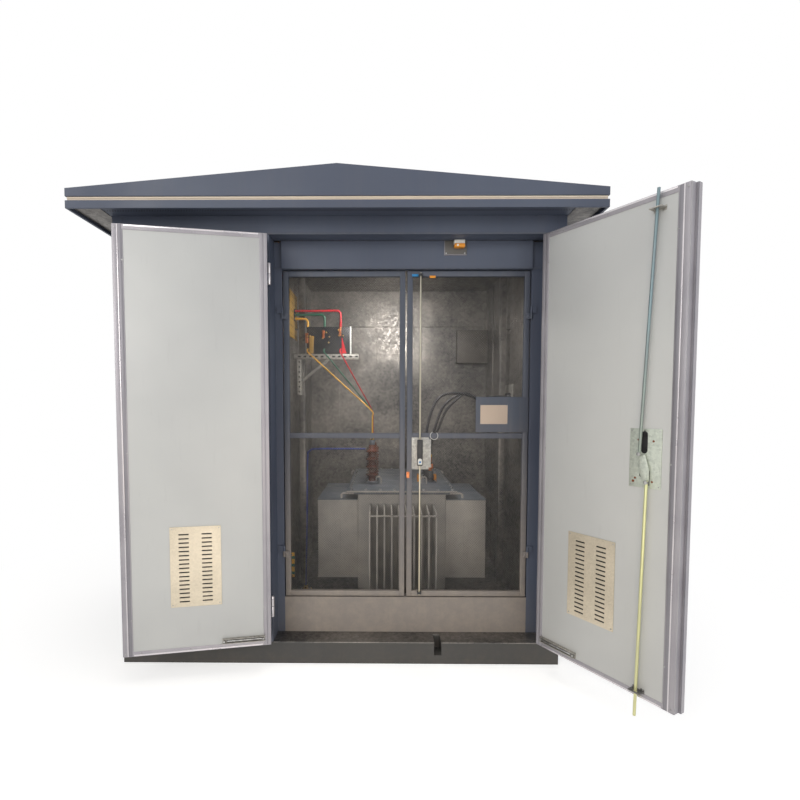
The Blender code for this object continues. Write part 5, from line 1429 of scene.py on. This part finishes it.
red = [(-0.0530, FLAG_LOW), (-0.0221, FLAG_LOW), (-0.0530, FLAG_HIGH)]
for outline, finish in ((ochre, 3), (red, 5)):
    add_sheet(board, [(x, face - 0.0022, z) for x, z in outline], (0, 0.0026, 0), 0.0004, finish)
label_low = (board_high.x - 0.0052, face - 0.0015, board_low.z)
label_high = (board_high.x + 0.0038, board_high.y + 0.001, board_high.z + 0.0005)
add_block(board, label_low, label_high, 0.0006, 6)
keep("clamp_board", board, [black_board, copper, brass, ochre_sheet, green_sleeve, red_sleeve, white_plastic],
     "housing", ["terminal_board"])

# %% [markdown]
# ## Switch over the doorway
# A small dull plate hangs in front of the header panel and carries the door
# switch. The switch's body is white above and orange below.

# %% Door switch
low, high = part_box("switch_plate")
switch = bmesh.new()
add_block(switch, low, high, 0.0006, 0)
add_block(switch, (low.x, low.y - 0.0010, low.z), (low.x + 0.004, low.y + 0.0004, high.z), 0.0003, 4)
add_block(switch, (low.x + 0.0041, low.y - 0.0010, low.z), (high.x, low.y + 0.0004, low.z + 0.004), 0.0003, 4)
left, right, seam_z = 0.567, 0.6207, 2.108
add_block(switch, (left, low.y - 0.026, seam_z), (right, low.y + 0.0005, 2.128), 0.003, 1, steps=3)
arm_low, arm_high = (left + 0.001, low.y - 0.032, 2.090), (right - 0.001, low.y - 0.002, 2.1085)
add_block(switch, arm_low, arm_high, 0.003, 2, steps=3)
add_block(switch, (left + 0.012, low.y - 0.034, 2.094), (left + 0.022, low.y - 0.030, 2.104), 0.0012, 1)
for x in (low.x + 0.010, high.x - 0.010):
    foot, tip = (x, low.y - 0.003, low.z + 0.010), (x, low.y + 0.001, low.z + 0.010)
    add_bar(switch, foot, tip, 0.004, 0.0006, 3, None, 12)
olive_plate = make_sheet("olive_plate", screen(98, 96, 92), screen(82, 81, 80), 0.5)
colours = [olive_plate, white_plastic, orange_plastic, steel, dull_trim_and_shade]
keep("door_switch", switch, colours, "housing", ["switch_plate"])

# %% [markdown]
# ## Roof details
# Between the tray and the gable cap runs a pale strip, and the underside of
# the front eave has two rows of small holes that let warm air out. The holes
# are flat marks of painted shade, one face each. Plates close the eaves at
# both ends.

# %% Eave strip
low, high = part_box("eave_strip")
strip = bmesh.new()


def add_hoop(back, width, z_low, z_high, edge):
    """Four bars that go round the roof, set back from the strip's face."""
    x, y = high.x - back, high.y - back
    end = y - width - 0.0001
    for left, right, front, rear in (
        (-x, x, -y, width - y), (-x, x, y - width, y), (-x, width - x, -end, end), (x - width, x, -end, end),
    ):
        add_block(strip, (left, front, z_low), (right, rear, z_high), edge)


add_hoop(0.0008, 0.020, low.z, low.z + 0.0075, 0.0012)
add_hoop(0.0, 0.020, low.z + 0.0085, high.z, 0.0012)
add_hoop(0.008, 0.012, low.z, high.z, 0.0)
keep("pale_eave_strip", strip, [strip_cream], "housing", ["eave_strip"])

# %% Eave vents
tray_low, tray_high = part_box("roof_tray")
under = 2.2203
VENT_PITCH, VENT_RADIUS, VENTS_IN_ROW = 0.0125, 0.0032, 184


def add_disc(piece, x, y, z, radius):
    """A flat disc of painted shade with eight corners, facing down where a hole is."""
    part = bmesh.new()
    bmesh.ops.create_circle(part, cap_ends=True, segments=8, radius=radius)
    bmesh.ops.reverse_faces(part, faces=part.faces[:])
    bmesh.ops.translate(part, vec=(x, y, z), verts=part.verts)
    pour(part, piece, 0)


vent_shade_marks = bmesh.new()
for row, y in enumerate((-0.898, -0.886)):
    for index in range(VENTS_IN_ROW):
        x = (index - (VENTS_IN_ROW - 1) / 2) * VENT_PITCH + (VENT_PITCH / 2 if row else 0.0)
        add_disc(vent_shade_marks, x, y, under - 0.0005, VENT_RADIUS)
keep("eave_vent_shade_marks", vent_shade_marks, [shadow], "housing")

soffit = bmesh.new()
for side in (-1, 1):
    near, far = across(side, 1.104, 1.226)
    low, high = (near, tray_low.y + 0.0125, under - 0.0025), (far, tray_high.y - 0.0125, under - 0.0002)
    add_block(soffit, low, high, 0.0006)
keep("soffit_plates", soffit, [lining_zinc], "housing")

lips = bmesh.new()
front_y = tray_low.y
low = (tray_low.x + 0.012, front_y + 0.0121, under - 0.006)
high = (tray_high.x - 0.012, front_y + 0.0165, under)
add_block(lips, low, high, 0.001, 0)
add_block(lips, (-1.04, -0.8285, 2.131), (1.04, -0.8245, 2.139), 0.0012, 1)
add_block(lips, (-0.338, -0.7760, 2.1315), (1.020, -0.7305, 2.1338), 0.0006, 0)
add_block(lips, (-0.336, -0.7316, 1.9925), (1.018, -0.7298, 1.9960), 0.0006, 1)
keep("front_lips", lips, [housing_paint, frame_paint], "housing")

# %% [markdown]
# The walls are folded from narrower sheets that meet in low raised seams, and
# the right leaf has a handle plate on its outside, level with its lock.

# %% Wall seams and outside handle
SEAM_HALF, SEAM_RAISE, SEAM_LOW, SEAM_HIGH = 0.012, 0.0012, 0.140, 2.195
wall_y, wall_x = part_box("rear_wall")[1].y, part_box("right_wall")[1].x
seams = bmesh.new()
for x in (-0.37, 0.37):
    low, high = (x - SEAM_HALF, wall_y - 0.0002, SEAM_LOW), (x + SEAM_HALF, wall_y + SEAM_RAISE, SEAM_HIGH)
    add_block(seams, low, high, 0.0005)
for side in (-1, 1):
    near, far = across(side, wall_x - 0.0002, wall_x + SEAM_RAISE)
    for y in (-0.275, 0.275):
        add_block(seams, (near, y - SEAM_HALF, SEAM_LOW), (far, y + SEAM_HALF, SEAM_HIGH), 0.0005)
keep("wall_seams", seams, [housing_paint], "housing")

handle = bmesh.new()
low, high = (LOCK_X - 0.022, 0.0085, LOCK_Z - 0.070), (LOCK_X + 0.022, 0.0121, LOCK_Z + 0.070)
add_block(handle, low, high, 0.001, 0, right_door)
low, high = (LOCK_X - 0.010, 0.0040, LOCK_Z - 0.055), (LOCK_X + 0.010, 0.0087, LOCK_Z + 0.050)
add_block(handle, low, high, 0.0015, 1, right_door)
keep("outside_handle", handle, [trim_metal, black_board], "right_door")

# %% [markdown]
# ## Inside the room
# The lining is folded from narrow sheets, so it has upright seams, and the
# roof sheets above show their own. Two posts stand halfway back, and a
# yellow insulating sheet covers the partition beside the bars.

# %% Lining seams, ceiling and posts
room = bmesh.new()
rear_y, right_x, left_x = 0.7707, 1.0457, -0.3660
for x in (-0.14, 0.16, 0.46, 0.76):
    add_block(room, (x, rear_y - 0.0035, FLOOR_TOP), (x + 0.003, rear_y, 2.205), 0.0006)
for y in (0.52, 0.25, -0.32, -0.55):
    add_block(room, (right_x - 0.0035, y, FLOOR_TOP), (right_x, y + 0.003, 2.205), 0.0006)
    add_block(room, (left_x, y, FLOOR_TOP), (left_x + 0.0035, y + 0.003, 2.205), 0.0006)
add_block(room, (left_x, rear_y - 0.004, 1.93), (right_x, rear_y, 1.938), 0.0008)
for x in (0.05, 0.30, 0.62):
    add_block(room, (x, -0.66, 2.2145), (x + 0.003, rear_y, 2.2203), 0.0006)
add_block(room, (left_x, -0.680, 2.2165), (right_x, rear_y, 2.2202), 0.0008)
for x, way in ((left_x, 1), (right_x, -1)):
    near, far = across(way, 0.031, 0.071, x)
    web = across(way, 0.0685, 0.071, x)
    add_block(room, (near, -0.005, FLOOR_TOP), (far, -0.002, 2.2160), 0.0008)
    add_block(room, (web[0], -0.005, FLOOR_TOP), (web[1], 0.035, 2.2160), 0.0008)
    add_block(room, (near, 0.032, FLOOR_TOP), (far, 0.035, 2.2160), 0.0008)
    for z in (0.40, 1.10, 1.80):
        tie = sorted((x, x + way * 0.034))
        add_block(room, (tie[0], 0.000, z), (tie[1], 0.030, z + 0.004), 0.0006)
keep("room_seams_and_posts", room, [lining_zinc], "housing")

trunking = bmesh.new()
add_block(trunking, (0.800, 0.700, 1.640), (right_x - 0.001, rear_y, 1.900), 0.004)
keep("dark_panel", trunking, [panel_brown], "housing")

SHEET_FACE, SHEET_BACK = -0.3610, -0.3655
yellow = bmesh.new()
add_block(yellow, (SHEET_BACK, -0.244, 1.734), (SHEET_FACE, 0.091, 2.024), 0.001, 0)
for z in (1.862, 1.888, 1.913):
    grommet = [(0.0130, 0.0), (0.0130, 0.005), (0.0105, 0.008)]
    add_turned(yellow, grommet, (SHEET_FACE - 0.0005, -0.030, z), (1, 0, 0), 1)
# The rows of holes in the sheet are dark discs of painted shade.
for row in range(6):
    for column in range(7):
        y, z = -0.222 + column * 0.048, 1.756 + row * 0.049
        if abs(z - 1.888) > 0.040 or abs(y + 0.030) > 0.030:
            foot, tip = (SHEET_FACE - 0.0004, y, z), (SHEET_FACE + 0.0003, y, z)
            add_bar(yellow, foot, tip, 0.0062, 0.0, 2, None, 12)
keep("yellow_sheet", yellow, [ochre_sheet, black_rubber, shadow], "housing")

# %% Earth bar and floor clamp
earth = bmesh.new()
EARTH_LEFT, EARTH_RIGHT, EARTH_Y = -0.352, -0.322, -0.300
add_block(earth, (EARTH_LEFT, EARTH_Y, 0.260), (EARTH_RIGHT, EARTH_Y + 0.004, 0.410), 0.0008, 0)
for index in range(3):
    z = 0.276 + index * 0.048
    low = (EARTH_LEFT - 0.0004, EARTH_Y - 0.0005, z)
    high = (EARTH_RIGHT + 0.0004, EARTH_Y + 0.0045, z + 0.018)
    add_block(earth, low, high, 0.0005, 1)
for z in (0.270, 0.400):
    low, high = (-0.3659, EARTH_Y + 0.0002, z - 0.006), (EARTH_LEFT + 0.004, EARTH_Y + 0.0052, z + 0.006)
    add_block(earth, low, high, 0.0006, 3)
    add_bar(earth, (-0.337, EARTH_Y - 0.004, z), (-0.337, EARTH_Y + 0.001, z), 0.006, 0.0008, 2, None, 6)
add_block(earth, (-0.315, -0.165, FLOOR_TOP), (-0.245, -0.105, 0.122), 0.001, 2)
add_bar(earth, (-0.280, -0.135, 0.121), (-0.280, -0.135, 0.150), 0.013, 0.001, 2)
for x in (-0.305, -0.255):
    add_bolt(earth, x, -0.135, 0.122, 0.007, 3)
keep("earth_bar", earth, [yellow_sleeve, green_sleeve, brass, steel], "housing")

# %% [markdown]
# ## Stage
# The camera, mirrors and glass see the backdrop at full white, and the floor
# with a glow of its own that fades to white with distance. The rest of the
# light comes from a dim even world and six soft lamps: key, fill, top, back,
# one low in front for the bounce off the ground, and one inside the room.

# %% World, floor and lamps
def seen_directly(tree):
    """One where the camera, a mirror or glass sees the surface, zero for other light."""
    rays = add_node(tree, "LightPath")
    total = rays.outputs["Is Camera Ray"]
    for kind in ("Is Glossy Ray", "Is Transmission Ray"):
        total = add_node(tree, "Math", {0: total, 1: rays.outputs[kind]}, operation="MAXIMUM").outputs[0]
    return total


world = bpy.data.worlds.new("world")
scene.world = world
world.use_nodes = True
tree = world.node_tree
tree.nodes.clear()
seen = add_node(tree, "Background", {"Color": (1.0, 1.0, 1.0, 1.0), "Strength": 1.0})
fill = add_node(tree, "Background", {"Color": (0.97, 0.98, 1.0, 1.0), "Strength": 0.30})
choose = add_node(tree, "MixShader", {"Fac": seen_directly(tree), 1: fill.outputs[0], 2: seen.outputs[0]})
add_node(tree, "OutputWorld", {"Surface": choose.outputs["Shader"]})

floor_mesh = bmesh.new()
bmesh.ops.create_grid(floor_mesh, x_segments=1, y_segments=1, size=14.0)
floor_data = bpy.data.meshes.new("floor")
floor_mesh.to_mesh(floor_data)
floor_mesh.free()
floor = bpy.data.objects.new("floor", floor_data)
scene.collection.objects.link(floor)
floor_finish = bpy.data.materials.new("floor")
floor_finish.use_nodes = True
tree = floor_finish.node_tree
tree.nodes.clear()
matt = add_node(tree, "BsdfDiffuse", {"Color": (0.86, 0.85, 0.83, 1.0)})
glow = add_node(tree, "Emission", {"Strength": 0.55})
white = add_node(tree, "Emission")
near = add_node(tree, "AddShader", {0: matt.outputs[0], 1: glow.outputs[0]})
place = add_node(tree, "TexCoord").outputs["Object"]
length = add_node(tree, "VectorMath", {0: place}, operation="LENGTH").outputs["Value"]
fade = add_node(tree, "MapRange", {"From Min": 1.4, "From Max": 2.9, "Value": length}).outputs["Result"]
looked_at = add_node(tree, "MixShader", {"Fac": fade, 1: near.outputs[0], 2: white.outputs[0]})
both = add_node(tree, "MixShader", {"Fac": seen_directly(tree), 1: matt.outputs[0], 2: looked_at.outputs[0]})
add_node(tree, "OutputMaterial", {"Surface": both.outputs[0]})
floor_data.materials.append(floor_finish)
floor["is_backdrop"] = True


def add_lamp(name, place, target, size, watts, colour):
    """A large square lamp that looks at a point of the object."""
    data = bpy.data.lights.new(name, "AREA")
    data.shape = "SQUARE"
    data.size = size
    data.energy = watts
    data.color = colour
    lamp = bpy.data.objects.new(name, data)
    scene.collection.objects.link(lamp)
    way = Vector(target) - Vector(place)
    lamp.matrix_world = Matrix.Translation(place) @ way.to_track_quat("-Z", "Y").to_matrix().to_4x4()
    return lamp


add_lamp("key", (-3.5, -6.5, 3.6), (0.1, -0.2, 1.1), 3.5, 160, (1.0, 0.97, 0.93))
add_lamp("fill", (4.5, -5.0, 2.2), (0.2, -0.2, 1.0), 3.5, 75, (0.95, 0.97, 1.0))
add_lamp("top", (0.0, -1.0, 6.5), (0.0, 0.0, 1.0), 4.0, 75, (1.0, 1.0, 1.0))
add_lamp("back", (2.5, 6.0, 3.5), (0.0, 0.5, 1.2), 4.0, 90, (1.0, 1.0, 1.0))
add_lamp("ground bounce", (0.4, -3.6, 0.35), (0.2, -0.7, 0.4), 1.6, 20, (1.0, 0.86, 0.70))
room_lamp = add_lamp("room", (0.33, -0.38, 2.06), (0.33, 0.30, 0.9), 0.36, 13, (1.0, 0.97, 0.93))
room_lamp.visible_camera = False
scene.view_settings.view_transform = "Standard"
print("Stage set")

# %% [markdown]
# ## Visual box
# The box that the dressed object fills is printed.

# %% Sizes and finish
low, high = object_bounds()
print("Visual box:", [round(v, 3) for v in low], [round(v, 3) for v in high])
